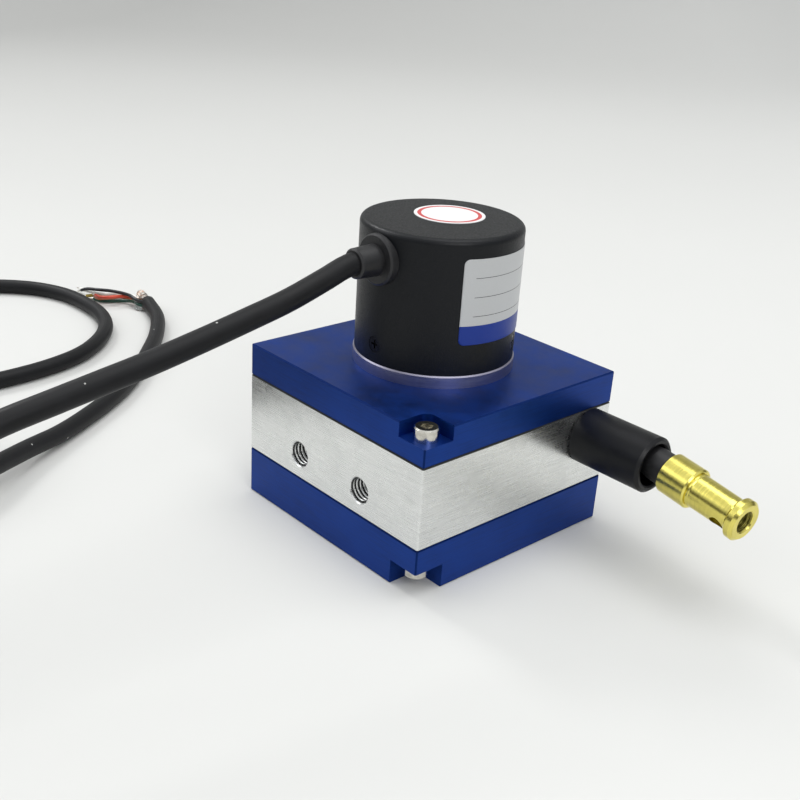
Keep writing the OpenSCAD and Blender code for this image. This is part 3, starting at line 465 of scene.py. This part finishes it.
def brushed(name, color):
    """Bare aluminium, brushed along its sides, with faint handling marks and painted shade along the seams.
    """
    f = Finish(name, color, metallic=1.0, roughness=0.36)
    lines = f.noise(f.place(scale=(0.02, 0.02, 1)), 0.00016, 5.0, 0.7)
    marks = f.noise(f.place(), 0.006, 4.0, 0.6)
    tint = f.mix(f.span(lines, 0.35, 0.65), shade(color, 0.84), shade(color, 1.1))
    tint = f.mix(f.span(marks, 0.5, 0.75, 0.0, 0.25), tint, shade(color, 0.8))
    middle, tall = (FRAME_Z[0] + FRAME_Z[1]) / 2 * MM, (FRAME_Z[1] - FRAME_Z[0]) / 2 * MM
    height = f.math("ABSOLUTE", f.math("SUBTRACT", f.axis(f.place(), 2), middle))
    # Painted shade: the chamfers along the frame's top and bottom are darkened to a tenth, for the shadow in
    # the gap between the plates.
    shaded_seam = f.span(height, tall - 0.36 * MM, tall - 0.28 * MM)
    f.into("Base Color", f.mix(shaded_seam, tint, shade(color, 0.1)))
    grain = f.span(f.math("ADD", lines, marks), 0.7, 1.3, 0.2, 0.34)
    f.into("Roughness", f.math("MAXIMUM", grain, f.math("MULTIPLY", shaded_seam, 0.8)))
    return f.into("Normal", f.bump(lines, 0.000004)).material


def turned_metal(name, color, roughness=0.22, pitch=0.00018, turn=(0, 0, 0)):
    """Metal turned on a lathe: rings along its axis, which is along Z after the turn."""
    f = Finish(name, color, metallic=1.0, roughness=roughness)
    where = f.place(turn=turn)
    rings = f.noise(f.node("ShaderNodeMapping", {"Vector": where, "Scale": (0.02, 0.02, 1)}), pitch, 4.0, 0.7)
    smears = f.noise(f.node("ShaderNodeMapping", {"Vector": where, "Scale": (1, 1, 0.15)}), 0.0016, 3.0)
    tint = f.mix(f.span(rings, 0.3, 0.7), shade(color, 0.82), shade(color, 1.12))
    f.into("Base Color", f.mix(f.span(smears, 0.5, 0.8, 0.0, 0.3), tint, shade(color, 0.7)))
    f.into("Roughness", f.span(rings, 0.3, 0.7, roughness * 0.75, roughness * 1.35))
    return f.into("Normal", f.bump(rings, 0.000003)).material


def cut_thread(name, color):
    """Tapped metal, with painted light on the crests and painted shade in the roots: the colour
    follows the distance from either side hole's axis, which runs along Y."""
    f = Finish(name, color, metallic=1.0, roughness=0.25)
    where = f.place()
    x = f.math("SUBTRACT", f.math("ABSOLUTE", f.axis(where, 0)), SIDE_HOLE_X * MM)
    z = f.math("SUBTRACT", f.axis(where, 2), SIDE_HOLE_Z * MM)
    # Painted shade in the roots and painted light on the crests.
    root_shade = f.span(f.length(x, z), 2.62 * MM, 2.8 * MM)
    return f.into("Base Color", f.mix(root_shade, shade(color, 1.1), shade(color, 0.05))).material


def plain_metal(name, color, roughness=0.3):
    """Plated or ground metal with fine grain and small marks."""
    f = Finish(name, color, metallic=1.0, roughness=roughness)
    where = f.place()
    grain = f.noise(where, 0.00015, 3.0, 0.6)
    marks = f.noise(where, 0.0015, 4.0, 0.65)
    tint = f.mix(f.span(marks, 0.45, 0.7), shade(color, 1.05), shade(color, 0.75))
    f.into("Base Color", tint)
    f.into("Roughness", f.span(f.math("ADD", grain, marks), 0.7, 1.3, roughness * 0.8, roughness * 1.5))
    return f.into("Normal", f.bump(grain, 0.000003)).material


def painted(name, color):
    """Fine textured black paint with dust in its grain."""
    f = Finish(name, color, roughness=0.4, Specular_IOR_Level=0.25)
    where = f.place()
    grain = f.noise(where, 0.00035, 3.0, 0.55)
    peel = f.noise(where, 0.0022, 2.0)
    dust = f.span(f.noise(where, 0.0007, 5.0, 0.75), 0.66, 0.8)
    f.into("Base Color", f.mix(f.math("MULTIPLY", dust, 0.3), color, shade(color, 5.0)))
    f.into("Roughness", f.span(grain, 0.3, 0.7, 0.34, 0.5))
    return f.into("Normal", f.bump(f.math("ADD", grain, f.math("MULTIPLY", peel, 0.8)), 0.00003)).material


def moulded(name, color, roughness=0.45, grain=0.0004, depth=0.00001, spread=1.25, gloss=0.5):
    """Moulded plastic or rubber: fine grain, uneven gloss and faint scuffs."""
    f = Finish(name, color, roughness=roughness, Specular_IOR_Level=gloss)
    where = f.place()
    fine = f.noise(where, grain, 3.0, 0.6)
    wide = f.noise(where, grain * 14, 4.0, 0.6)
    scuffs = f.span(f.noise(f.place(scale=(1, 0.25, 1)), grain * 2.5, 5.0, 0.75), 0.62, 0.78)
    tint = f.mix(f.span(wide, 0.35, 0.65), shade(color, 1 / spread), shade(color, spread))
    f.into("Base Color", f.mix(f.math("MULTIPLY", scuffs, 0.25), tint, shade(color, 2.2)))
    f.into("Roughness", f.span(f.math("ADD", fine, wide), 0.7, 1.3, roughness * 0.8, roughness * 1.25))
    return f.into("Normal", f.bump(fine, depth)).material


def jacket(name, color):
    """Soft black cable jacket: faint lengthwise drawing lines, fine grain, dust and a few white flecks."""
    f = Finish(name, color, roughness=0.42, Specular_IOR_Level=0.22, Sheen_Weight=0.03, Sheen_Roughness=0.45)
    where = f.place()
    drawn = f.noise(f.place(scale=(1, 0.004, 1), uv=True), 0.035, 3.0)
    fine = f.noise(where, 0.00025, 3.0, 0.6)
    wide = f.noise(where, 0.009, 4.0, 0.6)
    dust = f.span(f.noise(where, 0.00045, 5.0, 0.8), 0.66, 0.8)
    fleck = f.math("MULTIPLY", f.math("LESS_THAN", f.specks(where, 0.006), 0.045), 0.8)
    tint = f.mix(f.span(wide, 0.35, 0.7), shade(color, 0.85), shade(color, 1.5))
    tint = f.mix(f.math("MULTIPLY", dust, 0.35), tint, shade(color, 6.0))
    f.into("Base Color", f.mix(fleck, tint, (0.5, 0.5, 0.48)))
    f.into("Roughness", f.span(f.math("ADD", drawn, wide), 0.6, 1.3, 0.42, 0.58))
    return f.into("Normal", f.bump(f.math("ADD", drawn, f.math("MULTIPLY", fine, 0.6)), 0.00002)).material


def board_finish(name):
    """Green circuit board with lighter tracks under the lacquer."""
    color = (0.01, 0.11, 0.035)
    f = Finish(name, color, roughness=0.28, Coat_Weight=0.4, Coat_Roughness=0.12)
    where = f.place()
    tracks = f.node(
        "ShaderNodeTexBrick",
        {"Vector": where, "Scale": 420.0, "Mortar Size": 0.03, "Color1": (0, 0, 0, 1),
         "Color2": (0.1, 0.1, 0.1, 1), "Mortar": (1, 1, 1, 1)},
    )
    grain = f.noise(where, 0.0006, 3.0)
    tint = f.mix(f.span(grain, 0.4, 0.7), color, shade(color, 1.4))
    f.into("Base Color", f.mix(tracks, tint, (0.05, 0.26, 0.08)))
    return f.into("Normal", f.bump(tracks, 0.00003)).material


def print_mark(f, u, v, box):
    """1 inside a printed rectangle (left, low, right, top), in millimetres on the label."""
    left, low, right, top = (n * MM for n in box)
    inside = [
        f.math("GREATER_THAN", u, left), f.math("LESS_THAN", u, right),
        f.math("GREATER_THAN", v, low), f.math("LESS_THAN", v, top),
    ]
    return reduce(lambda a, b: f.math("MULTIPLY", a, b), inside)


def side_label_finish(name, settings):
    """Satin label film with a coloured band along its foot and a generic ruled table."""
    paper, band = tuple(settings.paper), tuple(settings.band)
    f = Finish(name, paper, roughness=0.36, Specular_IOR_Level=0.3)
    flat = f.place(uv=True)
    u, v = f.axis(flat, 0), f.axis(flat, 1)
    grain = f.noise(f.place(), 0.0001, 2.0)
    tint = f.mix(f.span(grain, 0.3, 0.7), shade(paper, 0.94), shade(paper, 1.05))
    ink = (0.02, 0.02, 0.025)
    for mark in ((3.0, 6.6, 37.0, 6.72), (3.0, 11.0, 37.0, 11.12), (3.0, 15.4, 37.0, 15.52)):
        tint = f.mix(print_mark(f, u, v, mark), tint, ink)
    foot = print_mark(f, u, v, (-1, -1, 60, 4.5))
    f.into("Base Color", f.mix(foot, tint, band))
    f.into("Metallic", f.span(foot, 0, 1, 0.35, 0.0))
    f.into("Roughness", f.span(grain, 0.3, 0.7, 0.3, 0.42))
    return f.into("Normal", f.bump(f.noise(f.place(), 0.0012, 2.0), 0.000012)).material


def top_label_finish(name, settings, middle):
    """Glossy white disc with a thin coloured ring near its rim."""
    white = (0.8, 0.8, 0.79)
    f = Finish(name, white, roughness=0.32)
    where = f.place(shift=(-middle[0] * MM, -middle[1] * MM, 0))
    x, y = f.axis(where, 0), f.axis(where, 1)
    reach = f.length(x, y)
    ring = f.math(
        "MULTIPLY", f.math("GREATER_THAN", reach, 6.6 * MM), f.math("LESS_THAN", reach, 7.5 * MM)
    )
    grain = f.noise(f.place(), 0.0004, 3.0)
    tint = f.mix(f.span(grain, 0.35, 0.7), white, shade(white, 0.93))
    f.into("Base Color", f.mix(ring, tint, tuple(settings.ring)))
    return f.into("Normal", f.bump(f.noise(f.place(), 0.0015, 2.0), 0.00001)).material


def dress(material, *names):
    """Gives CAD nodes a finish, in all of their material slots."""
    for name in names:
        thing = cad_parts[name]
        if not thing.material_slots:
            thing.data.materials.append(material)
        for slot in thing.material_slots:
            slot.material = material


# ---------- Cable ----------


def ease(value, low, high):
    """0 below low, 1 above high, and smooth between."""
    t = np.clip((value - low) / (high - low), 0, 1)
    return t * t * (3 - 2 * t)


def coil_at(turn):
    """Radius and height of the coil's centreline at a turn in degrees, and the point there.

    Each floor turn draws in by one cable width over its last half. The inner turn climbs into the
    groove between two turns, works out to the next groove, and leaves over the outer turn."""
    pitch = 5.2
    inwards = ease(turn, 360, 540) + ease(turn, 720, 900)
    outwards = ease(turn, 1140, 1260) / 2 + ease(turn, 1320, 1500) + 1.35 * ease(turn, 1650, 1860)
    radius = COIL_R + pitch * (1 - inwards + outwards)
    climb = (LAYER_Z - REST_Z) * ease(turn, 1020, 1120)
    over = sum(np.exp(-(((turn - crossing) / 45) ** 2)) for crossing in (1200, 1410, 1530))
    ridge = 0.7 * (over + ease(turn, 1660, 1730)).clip(0, 1)
    on_tie = TIE_T * np.exp(-(((np.mod(turn - TIE_TURN + 180, 360) - 180) / 24) ** 2))
    z = REST_Z + climb + ridge + on_tie
    a = np.radians(turn)
    return radius, z, np.stack([COIL[0] + radius * np.cos(a), COIL[1] + radius * np.sin(a), z], -1)


def cable_line():
    """The whole cable's centreline: out of the encoder, three turns of the coil inwards on the
    floor, one and a half on top of them, and on to the stripped end."""
    coil = coil_at(np.arange(COIL_TURNS[0], COIL_TURNS[1] + 1, 10.0))[2]
    return smooth_line(np.vstack([CABLE_ROUTE, coil, TAIL_ROUTE]), 2.0)


class OBJECT_OT_encoder_stage(bpy.types.Operator):
    """Place the camera and the pale floor with its soft lights"""

    bl_idname = "encoder.stage"
    bl_label = "Stage"

    def execute(self, context):
        settings = context.scene.encoder_stage
        camera = bpy.data.objects.new("camera", bpy.data.cameras.new("camera"))
        context.scene.collection.objects.link(camera)
        camera.data.lens = settings.lens
        camera.data.clip_start = 0.01
        camera.location = settings.camera
        camera.rotation_euler = settings.turn
        context.scene.camera = camera
        context.scene.view_settings.view_transform = "Standard"
        self.floor(context, settings)
        self.lights(context)
        return {"FINISHED"}

    def floor(self, context, settings):
        """A level floor that curves up far behind the object: height rises as a quarter circle.

        Its colour is darkened with the distance behind, and more so towards the left, as painted shade, and
        lightened where it rises, as painted light."""
        bend = 900  # where the curve starts, and its radius
        across = np.linspace(-3000, 3000, 25)
        reach = np.linspace(-2600, 2600, 53)
        far = np.clip((reach - bend) / bend, 0, None)
        rise = bend * (1 - np.sqrt(1 - np.clip(far, 0, 1) ** 2)) + 2200 * np.clip(far - 1, 0, None)
        depth = np.minimum(reach, 2 * bend)
        forward = np.array((-DIAGONAL, DIAGONAL))
        side = np.array((DIAGONAL, DIAGONAL))
        flat = depth[:, None, None] * forward + across[None, :, None] * side
        grid = np.concatenate([flat, np.broadcast_to(rise[:, None, None], (*flat.shape[:2], 1))], -1)
        mesh = mesh_from_grid("floor", grid, wrap_columns=False)
        if mesh.polygons[0].normal.z < 0:
            mesh.flip_normals()
        floor = bpy.data.objects.new("floor", mesh)
        context.scene.collection.objects.link(floor)
        pale = tuple(settings.floor)
        f = Finish("floor", pale, roughness=0.7, Specular_IOR_Level=0.2)
        where = f.place()
        cloudy = f.mix(f.span(f.noise(where, 0.35, 2.0), 0.3, 0.7), pale, shade(pale, 0.97))
        behind = f.math("MULTIPLY", f.math("SUBTRACT", f.axis(where, 1), f.axis(where, 0)), DIAGONAL)
        left = f.math("MULTIPLY", f.math("ADD", f.axis(where, 0), f.axis(where, 1)), -DIAGONAL)
        # Painted shade: darker with the distance behind, and more so towards the back left.
        corner = f.span(f.math("MULTIPLY", behind, f.math("ADD", left, 0.3)), 0.0, 0.7)
        painted_falloff = f.mix(f.span(behind, 0.25, 1.3), cloudy, shade(pale, 0.84))
        painted_falloff = f.mix(corner, painted_falloff, shade(pale, 0.62))
        # Painted light: lighter where the floor rises.
        f.into("Base Color", f.mix(f.span(f.axis(where, 2), 0.1, 0.8), painted_falloff, shade(pale, 1.2)))
        mesh.materials.append(f.material)

    def lights(self, context):
        """A broad lamp overhead, a softer one on either side, a smaller one that casts the shadows,
        and a world that is bright above and dark along the horizon, so that polished metal has
        something dark to reflect."""
        for name, place, power, size in (
            ("overhead", (0.1, 0.2, 1.3), 7.2, 1.1),
            ("left", (-1.1, -0.9, 0.9), 3.2, 0.9),
            ("window", (-1.2, -0.05, 1.1), 6.6, 0.4),
            ("right", (1.2, -0.4, 0.8), 6.0, 0.8),
        ):
            lamp = bpy.data.lights.new(name, "AREA")
            lamp.shape = "DISK"
            lamp.size = size
            lamp.energy = power
            thing = bpy.data.objects.new(name, lamp)
            thing.location = place
            thing.rotation_euler = (Vector((0, 0, 0.03)) - thing.location).to_track_quat("-Z", "Y").to_euler()
            context.scene.collection.objects.link(thing)
        world = bpy.data.worlds.new("world")
        context.scene.world = world
        world.use_nodes = True
        nodes, links = world.node_tree.nodes, world.node_tree.links
        split, height = nodes.new("ShaderNodeSeparateXYZ"), nodes.new("ShaderNodeMapRange")
        links.new(nodes.new("ShaderNodeTexCoord").outputs["Generated"], split.inputs[0])
        links.new(split.outputs["Z"], height.inputs["Value"])
        for name, value in (("From Min", 0.15), ("From Max", 0.55), ("To Min", 0.11), ("To Max", 0.95)):
            height.inputs[name].default_value = value
        links.new(height.outputs[0], nodes["Background"].inputs["Strength"])
        nodes["Background"].inputs["Color"].default_value = (0.95, 0.97, 1.0, 1.0)


class OBJECT_OT_encoder_cable(bpy.types.Operator):
    """Build the signal cable with its stored coil"""

    bl_idname = "encoder.cable"
    bl_label = "Cable"

    def execute(self, context):
        settings = context.scene.encoder_cable
        line = cable_line()
        mesh = tube_mesh("cable", line, settings.diameter / 2 / MM, 24)
        cable = piece(
            "cable", mesh, "housing", jacket("cable_jacket", tuple(settings.jacket)),
            ("signal_cable", "cable_coil", "cable_tail"),
        )
        bpy.ops.encoder.cable_end()
        bpy.ops.encoder.coil_tie()
        return {"FINISHED"}


class OBJECT_OT_encoder_cable_end(bpy.types.Operator):
    """Build the insulated cores, their tinned tips, the frayed screen and the foil"""

    bl_idname = "encoder.cable_end"
    bl_label = "Stripped end"

    def execute(self, context):
        settings = context.scene.encoder_cable
        radius = settings.core_diameter / 2 / MM
        tinned = plain_metal("tinned_copper", (0.78, 0.74, 0.68), 0.3)
        for name, (color, route) in CORES.items():
            line = smooth_line(route, 0.5)
            mesh = tube_mesh("core_" + name, line, radius, 14, round_end=0.15)
            core = piece("core_" + name, mesh, "housing",
                         moulded("core_" + name, color, 0.34, 0.0005, 0.000006))
            if name == "black":
                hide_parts("cable_cores")
            onward = line[-1] - line[-3]
            onward = onward / np.linalg.norm(onward)
            bare = line[-1] + np.linspace(-0.5, 2.4, 8)[:, None] * onward
            bare[:, 2] = np.maximum(bare[:, 2], 0.35)
            piece("tip_" + name, tube_mesh("tip_" + name, bare, 0.26, 8, round_end=0.1), "housing",
                  tinned)
        self.screen(plain_metal("copper_strand", (0.8, 0.5, 0.34), 0.32), tinned)
        self.foil()
        return {"FINISHED"}

    def screen(self, copper, tinned):
        """Fine strands twisted into a short tuft that stands up beside the jacket's end.

        The tuft's middle is a parabola from root to tip. Each strand has its own place in a disc
        round it; the disc turns by two radians on the way, and is widest in the middle."""
        chance = np.random.default_rng(7)
        root, bend, tip = np.array(((-163.8, 16.6, 2.9), (-167.6, 15.4, 3.6), (-167.9, 16.2, 6.2)))
        for name, material, count, offset in (
            ("screen_strands", copper, 90, 0.0), ("screen_tinned", tinned, 70, 0.8),
        ):
            strands = []
            for k in range(count):
                t = np.linspace(0, chance.uniform(0.6, 1.0), 10)[:, None]
                middle = (1 - t) ** 2 * root + 2 * t * (1 - t) * bend + t * t * tip
                _, side, up = directions(middle)
                reach = offset + (1.25 - 0.6 * offset) * math.sqrt(chance.uniform())
                reach = reach * (0.75 + 0.5 * np.sin(np.pi * t))
                angle = chance.uniform(0, 2 * np.pi) + 2 * t
                fray = chance.normal(0, 0.25, 3) * t**3
                line = middle + reach * (np.cos(angle) * side + np.sin(angle) * up) + fray
                strands.append(tube_mesh("strand", line, 0.085, 5))
            self.join(name, strands, material, "copper_screen",
                      ("cable_screen",) if name == "screen_strands" else ())

    def foil(self):
        """A torn scrap of foil that hangs from the jacket's end: a strip between two slanted edges,
        crumpled by a sum of sines."""
        u, v = np.meshgrid(np.linspace(0, 1, 22), np.linspace(0, 1, 18), indexing="ij")
        crumple = 0.24 * np.sin(9 * u + 5 * v) * np.sin(11 * v - 4 * u) + 0.1 * np.sin(23 * u + 17 * v)
        ragged = 0.3 * np.sin(14 * u + 1) * (1 - v) ** 3
        x = (1 - v) * (-165.6 + 3 * u) + v * (-167.2 + 2.6 * u) + 0.4 * crumple
        y = (1 - v) * (11.9 + 1.5 * u) + v * (13 + 1.9 * u) - 0.7 * crumple
        z = 0.3 + 2.5 * v + ragged
        mesh = mesh_from_grid("foil", np.stack([x, y, np.maximum(z, 0.1)], -1), wrap_columns=False)
        foil = piece("screen_foil", mesh, "housing",
                     plain_metal("foil", (0.3, 0.31, 0.3), 0.5))
        foil.modifiers.new("thickness", "SOLIDIFY").thickness = 0.06 * MM

    def join(self, name, meshes, material, slot, replaces=()):
        """One piece from several meshes."""
        parts = []
        for mesh in meshes:
            part = bpy.data.objects.new(name, mesh)
            bpy.context.scene.collection.objects.link(part)
            parts.append(part)
        with bpy.context.temp_override(active_object=parts[0], selected_editable_objects=parts):
            bpy.ops.object.join()
        whole = parts[0]
        whole.name = name
        whole.data.materials.append(material)
        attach(whole, "housing")
        if replaces:
            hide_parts(*replaces)
        return whole


class OBJECT_OT_encoder_coil_tie(bpy.types.Operator):
    """Build the tie that holds the stored coil"""

    bl_idname = "encoder.coil_tie"
    bl_label = "Coil tie"

    def execute(self, context):
        """The strap's line is the edge of the turns' outline: for each direction, the point of
        the turn that lies furthest that way. A rounded rectangle is carried along it."""
        color = tuple(context.scene.encoder_cable.tie)
        radius, z, _ = coil_at(TIE_TURN + 360.0 * np.arange(5))
        turns = np.stack([radius, z], -1)
        angle = np.arange(96) * 2 * np.pi / 96
        out = np.stack([np.cos(angle), np.sin(angle)], -1)
        furthest = turns[np.argmax(out @ turns.T, axis=1)]
        line = furthest + (REST_Z + TIE_T / 2) * out
        corner = np.arange(16) * 2 * np.pi / 16
        square = lambda wave: np.sign(wave) * np.abs(wave) ** 0.4
        thick, wide = TIE_T / 2 * square(np.cos(corner)), 1.8 * square(np.sin(corner))
        flat = line[:, None] + thick[None, :, None] * out[:, None]
        a = math.radians(TIE_TURN)
        reach, across = np.array((math.cos(a), math.sin(a))), np.array((-math.sin(a), math.cos(a)))
        xy = np.array(COIL) + flat[..., :1] * reach + wide[None, :, None] * across
        grid = np.concatenate([xy, flat[..., 1:]], -1)
        plastic = moulded("tie_plastic", color, 0.36, 0.0005, 0.000006)
        piece("coil_tie", mesh_from_grid("coil_tie", grid, wrap_rows=True), "housing",
              plastic)
        self.head(turns, reach, across, plastic)
        return {"FINISHED"}

    def head(self, turns, reach, across, plastic):
        """The tie's head: a box rounded as a superellipsoid, over the coil's outer top turn."""
        u, v = np.meshgrid(np.linspace(-np.pi / 2, np.pi / 2, 17), np.arange(32) * np.pi / 16, indexing="ij")
        power = lambda wave: np.sign(wave) * np.abs(wave) ** 0.35
        x, y, z = power(np.cos(u)) * power(np.cos(v)), power(np.cos(u)) * power(np.sin(v)), power(np.sin(u))
        middle = turns[:, 0].mean() - 0.5
        top = turns[:, 1].max() + REST_Z + 1.9
        xy = np.array(COIL) + (middle + 2.6 * x[..., None]) * reach + 2.5 * y[..., None] * across
        grid = np.concatenate([xy, (top + 1.7 * z)[..., None]], -1)
        piece("coil_tie_head", mesh_from_grid("coil_tie_head", grid, ends=True), "housing",
              plastic)


class OBJECT_OT_encoder_wire(bpy.types.Operator):
    """Build the drawn steel wire and its threads in the end fitting and the housing's side"""

    bl_idname = "encoder.wire"
    bl_label = "Wire and threads"

    def execute(self, context):
        settings = context.scene.encoder_fitting
        self.wire(settings)
        # Painted shade: the brass inside the fitting's hole is darkened to three tenths.
        brass = turned_metal("thread_brass_shaded", shade(settings.brass, 0.3), 0.3)
        local = thread_grid(2.5, 0.42, settings.end_pitch / MM, END_THREAD - 0.3, 0.35)
        local[..., 2] += TIP - 0.25
        piece("end_thread", mesh_from_grid("end_thread", on_fitting(local), wrap_rows=True), "wire_end",
              brass)
        bare = cut_thread("thread_aluminium", tuple(context.scene.encoder_housing.aluminium))
        for name, x in (("left", -SIDE_HOLE_X), ("right", SIDE_HOLE_X)):
            local = thread_grid(3.0, 0.5, settings.side_pitch / MM, 5.4, 0.5)
            across, up, inwards = np.moveaxis(local, -1, 0)
            local = np.stack([across + x, 0.25 - BODY_HALF - inwards, up + SIDE_HOLE_Z], -1)
            piece("side_thread_" + name, mesh_from_grid("side_thread", local, wrap_rows=True), "housing",
                  bare)
        return {"FINISHED"}

    def wire(self, settings):
        """A six-strand wire: the tube's radius swells and sinks six times a turn, along a helix."""
        straight = [(x, WIRE_Y, WIRE_Z) for x in (0, 15, 30, MOUTH_X - 1, MOUTH_X)]
        inner = np.array([-STOPPER_IN / 2, -STOPPER_IN / 2 + 1, 6, 12, TIP - END_THREAD - 0.6])
        hung = on_fitting(np.stack(np.broadcast_arrays(0.0, 0.0, inner), -1))
        step, lay = 0.3, 1.1
        line = smooth_line(np.vstack([straight, hung]), step)
        _, side, up = directions(line)
        run = np.arange(len(line)) * step
        turn = np.arange(30) * 2 * np.pi / 30
        strands = np.cos(6 * turn - run[:, None] * 2 * np.pi / lay)
        radius = settings.wire_diameter / 2 / MM * (0.94 + 0.06 * strands)
        ring = np.cos(turn)[None, :, None] * side[:, None] + np.sin(turn)[None, :, None] * up[:, None]
        mesh = mesh_from_grid("drawn_wire", line[:, None] + radius[..., None] * ring, ends=True)
        steel = plain_metal("wire_steel", (0.62, 0.63, 0.65), 0.28)
        wire = piece("drawn_wire", mesh, None, steel, ("draw_wire",))
        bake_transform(wire)
        dress(steel, "wound_wire")


class OBJECT_OT_encoder_labels(bpy.types.Operator):
    """Build the side label and finish both labels"""

    bl_idname = "encoder.labels"
    bl_label = "Labels"

    def execute(self, context):
        """The side label is a sheet wrapped on the cover: its half width at a height is the full
        one less what the rounded corner, a quarter circle, takes off there."""
        settings = context.scene.encoder_labels
        low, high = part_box("side_label")
        height = (high.z - low.z) / MM
        radius, corner = COVER_R + 0.14, settings.corner / MM
        first, span = math.radians(-28.5), math.radians(120)
        near = np.sin(np.linspace(0, np.pi / 2, 8)) ** 2 * corner
        v = np.concatenate([near, np.linspace(corner, height - corner, 20)[1:-1], height - near[::-1]])
        inset = np.clip(corner - np.minimum(v, height - v), 0, corner)
        half = span * radius / 2 - (corner - np.sqrt(corner**2 - inset**2))
        share = np.linspace(-1, 1, 97)
        u = share[None] * half[:, None] + span * radius / 2
        angle = first + u / radius
        v = np.broadcast_to(v[:, None], u.shape)
        grid = np.stack([radius * np.cos(angle), radius * np.sin(angle), v + low.z / MM], -1)
        uv = np.stack([u, v], -1) * MM
        mesh = mesh_from_grid("side_label_print", grid, wrap_columns=False, uv=uv)
        label = piece("side_label_print", mesh, "housing", side_label_finish("side_label", settings),
                      ("side_label",))
        thickness = label.modifiers.new("thickness", "SOLIDIFY")
        thickness.thickness = 0.1 * MM
        thickness.offset = -1
        low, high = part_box("top_label")
        middle = (low + high) / 2 / MM
        dress(top_label_finish("top_label", settings, middle), "top_label")
        return {"FINISHED"}


class OBJECT_OT_encoder_finishes(bpy.types.Operator):
    """Finish every CAD part"""

    bl_idname = "encoder.finishes"
    bl_label = "Finishes"

    def execute(self, context):
        housing = context.scene.encoder_housing
        blue, silver = tuple(housing.anodised), tuple(housing.aluminium)
        dress(anodised("bottom_plate", blue, 0.0, FRAME_Z[0]), "bottom_plate")
        dress(anodised("top_plate", blue, FRAME_Z[1], DECK_Z), "top_plate")
        dress(brushed("middle_frame", silver), "middle_frame")
        dress(turned_metal("turned_aluminium", silver, 0.26), "spring_cover_plate")
        # Painted reflection: the ring's aluminium is tinted blue-violet for the blue deck it reflects.
        dress(turned_metal("ring_aluminium_blue_reflection", (0.33, 0.32, 0.4), 0.38), "encoder_base")
        dress(painted("cover_paint", tuple(housing.cover)), "encoder_cover")
        dress(moulded("sleeve", (0.003, 0.0033, 0.0045), 0.42, 0.0003, 0.000008, gloss=0.28), "outlet_sleeve")
        dress(moulded("rubber", (0.008, 0.008, 0.009), 0.5, 0.0004, 0.000012), "rubber_stopper",
              "cable_grommet")
        brass = context.scene.encoder_fitting
        dress(
            turned_metal("end_fitting", tuple(brass.brass), 0.2, 0.00022,
                         turn=(Matrix.Rotation(-HANG - math.pi / 2, 3, "Y")
                               @ Matrix.Rotation(SWAY, 3, "Z")).to_euler()),
            "wire_connector",
        )
        dress(turned_metal("bush_brass", tuple(brass.brass), 0.3), "wire_bush", "disc_hub", "disc_clamp",
              "board_pillars")
        dress(plain_metal("nickel", (0.6, 0.58, 0.52), 0.15), "top_plate_screws", "bottom_plate_screws",
              "encoder_mount_screws", "board_screws", "encoder_shaft")
        # Painted shade: the wire ferrule at the bottom of the fitting's hole takes the black steel to darken
        # the hole.
        dress(plain_metal("black_steel", (0.03, 0.03, 0.032), 0.3), "cover_screws", "spring_cover_screws",
              "drum_grub_screws", "wire_ferrule")
        dress(plain_metal("bearing_steel", (0.6, 0.61, 0.63), 0.16), "drum_bearing_outers",
              "drum_bearing_balls", "drum_bearing_inners", "encoder_bearing_outers",
              "encoder_bearing_balls", "encoder_bearing_inners")
        dress(plain_metal("spring_steel", (0.34, 0.36, 0.42), 0.24), "power_spring", "spring_anchor_pin",
              "drum_shaft")
        dress(moulded("drum_plastic", (0.7, 0.69, 0.64), 0.42, 0.0006, 0.00001, 1.05), "drum")
        dress(plain_metal("disc_metal", (0.66, 0.66, 0.64), 0.2), "code_disc")
        dress(moulded("black_plastic", (0.015, 0.015, 0.016), 0.38), "led_emitter", "light_sensor")
        dress(moulded("header", (0.75, 0.74, 0.68), 0.4, spread=1.04), "board_header")
        dress(plain_metal("lead_wire", (0.75, 0.72, 0.66), 0.28), "inner_leads")
        dress(board_finish("board"), "circuit_board")
        return {"FINISHED"}


class VIEW3D_PT_encoder(bpy.types.Panel):
    """Lists the sizes, the colours and the steps"""

    bl_label = "Encoder"
    bl_space_type = "VIEW_3D"
    bl_region_type = "UI"
    bl_category = "Encoder"

    def draw(self, context):
        for name, group in GROUPS.items():
            box = self.layout.box()
            for field in group.__annotations__:
                box.prop(getattr(context.scene, name), field)
        for step in STEPS + CABLE_STEPS:
            self.layout.operator(step.bl_idname)


CABLE_STEPS = [OBJECT_OT_encoder_cable_end, OBJECT_OT_encoder_coil_tie]  # run with the cable
STEPS = [
    OBJECT_OT_encoder_stage, OBJECT_OT_encoder_cable, OBJECT_OT_encoder_wire,
    OBJECT_OT_encoder_labels, OBJECT_OT_encoder_finishes,
]
CLASSES = [*GROUPS.values(), *CABLE_STEPS, *STEPS, VIEW3D_PT_encoder]


def register():
    for each in CLASSES:
        bpy.utils.register_class(each)
    for name, group in GROUPS.items():
        setattr(bpy.types.Scene, name, PointerProperty(type=group))


def unregister():
    for name in GROUPS:
        delattr(bpy.types.Scene, name)
    for each in reversed(CLASSES):
        bpy.utils.unregister_class(each)


def main():
    """Builds everything in order."""
    register()
    for step in STEPS:
        getattr(bpy.ops.encoder, step.bl_idname.split(".")[1])()


if __name__ == "__main__":
    main()
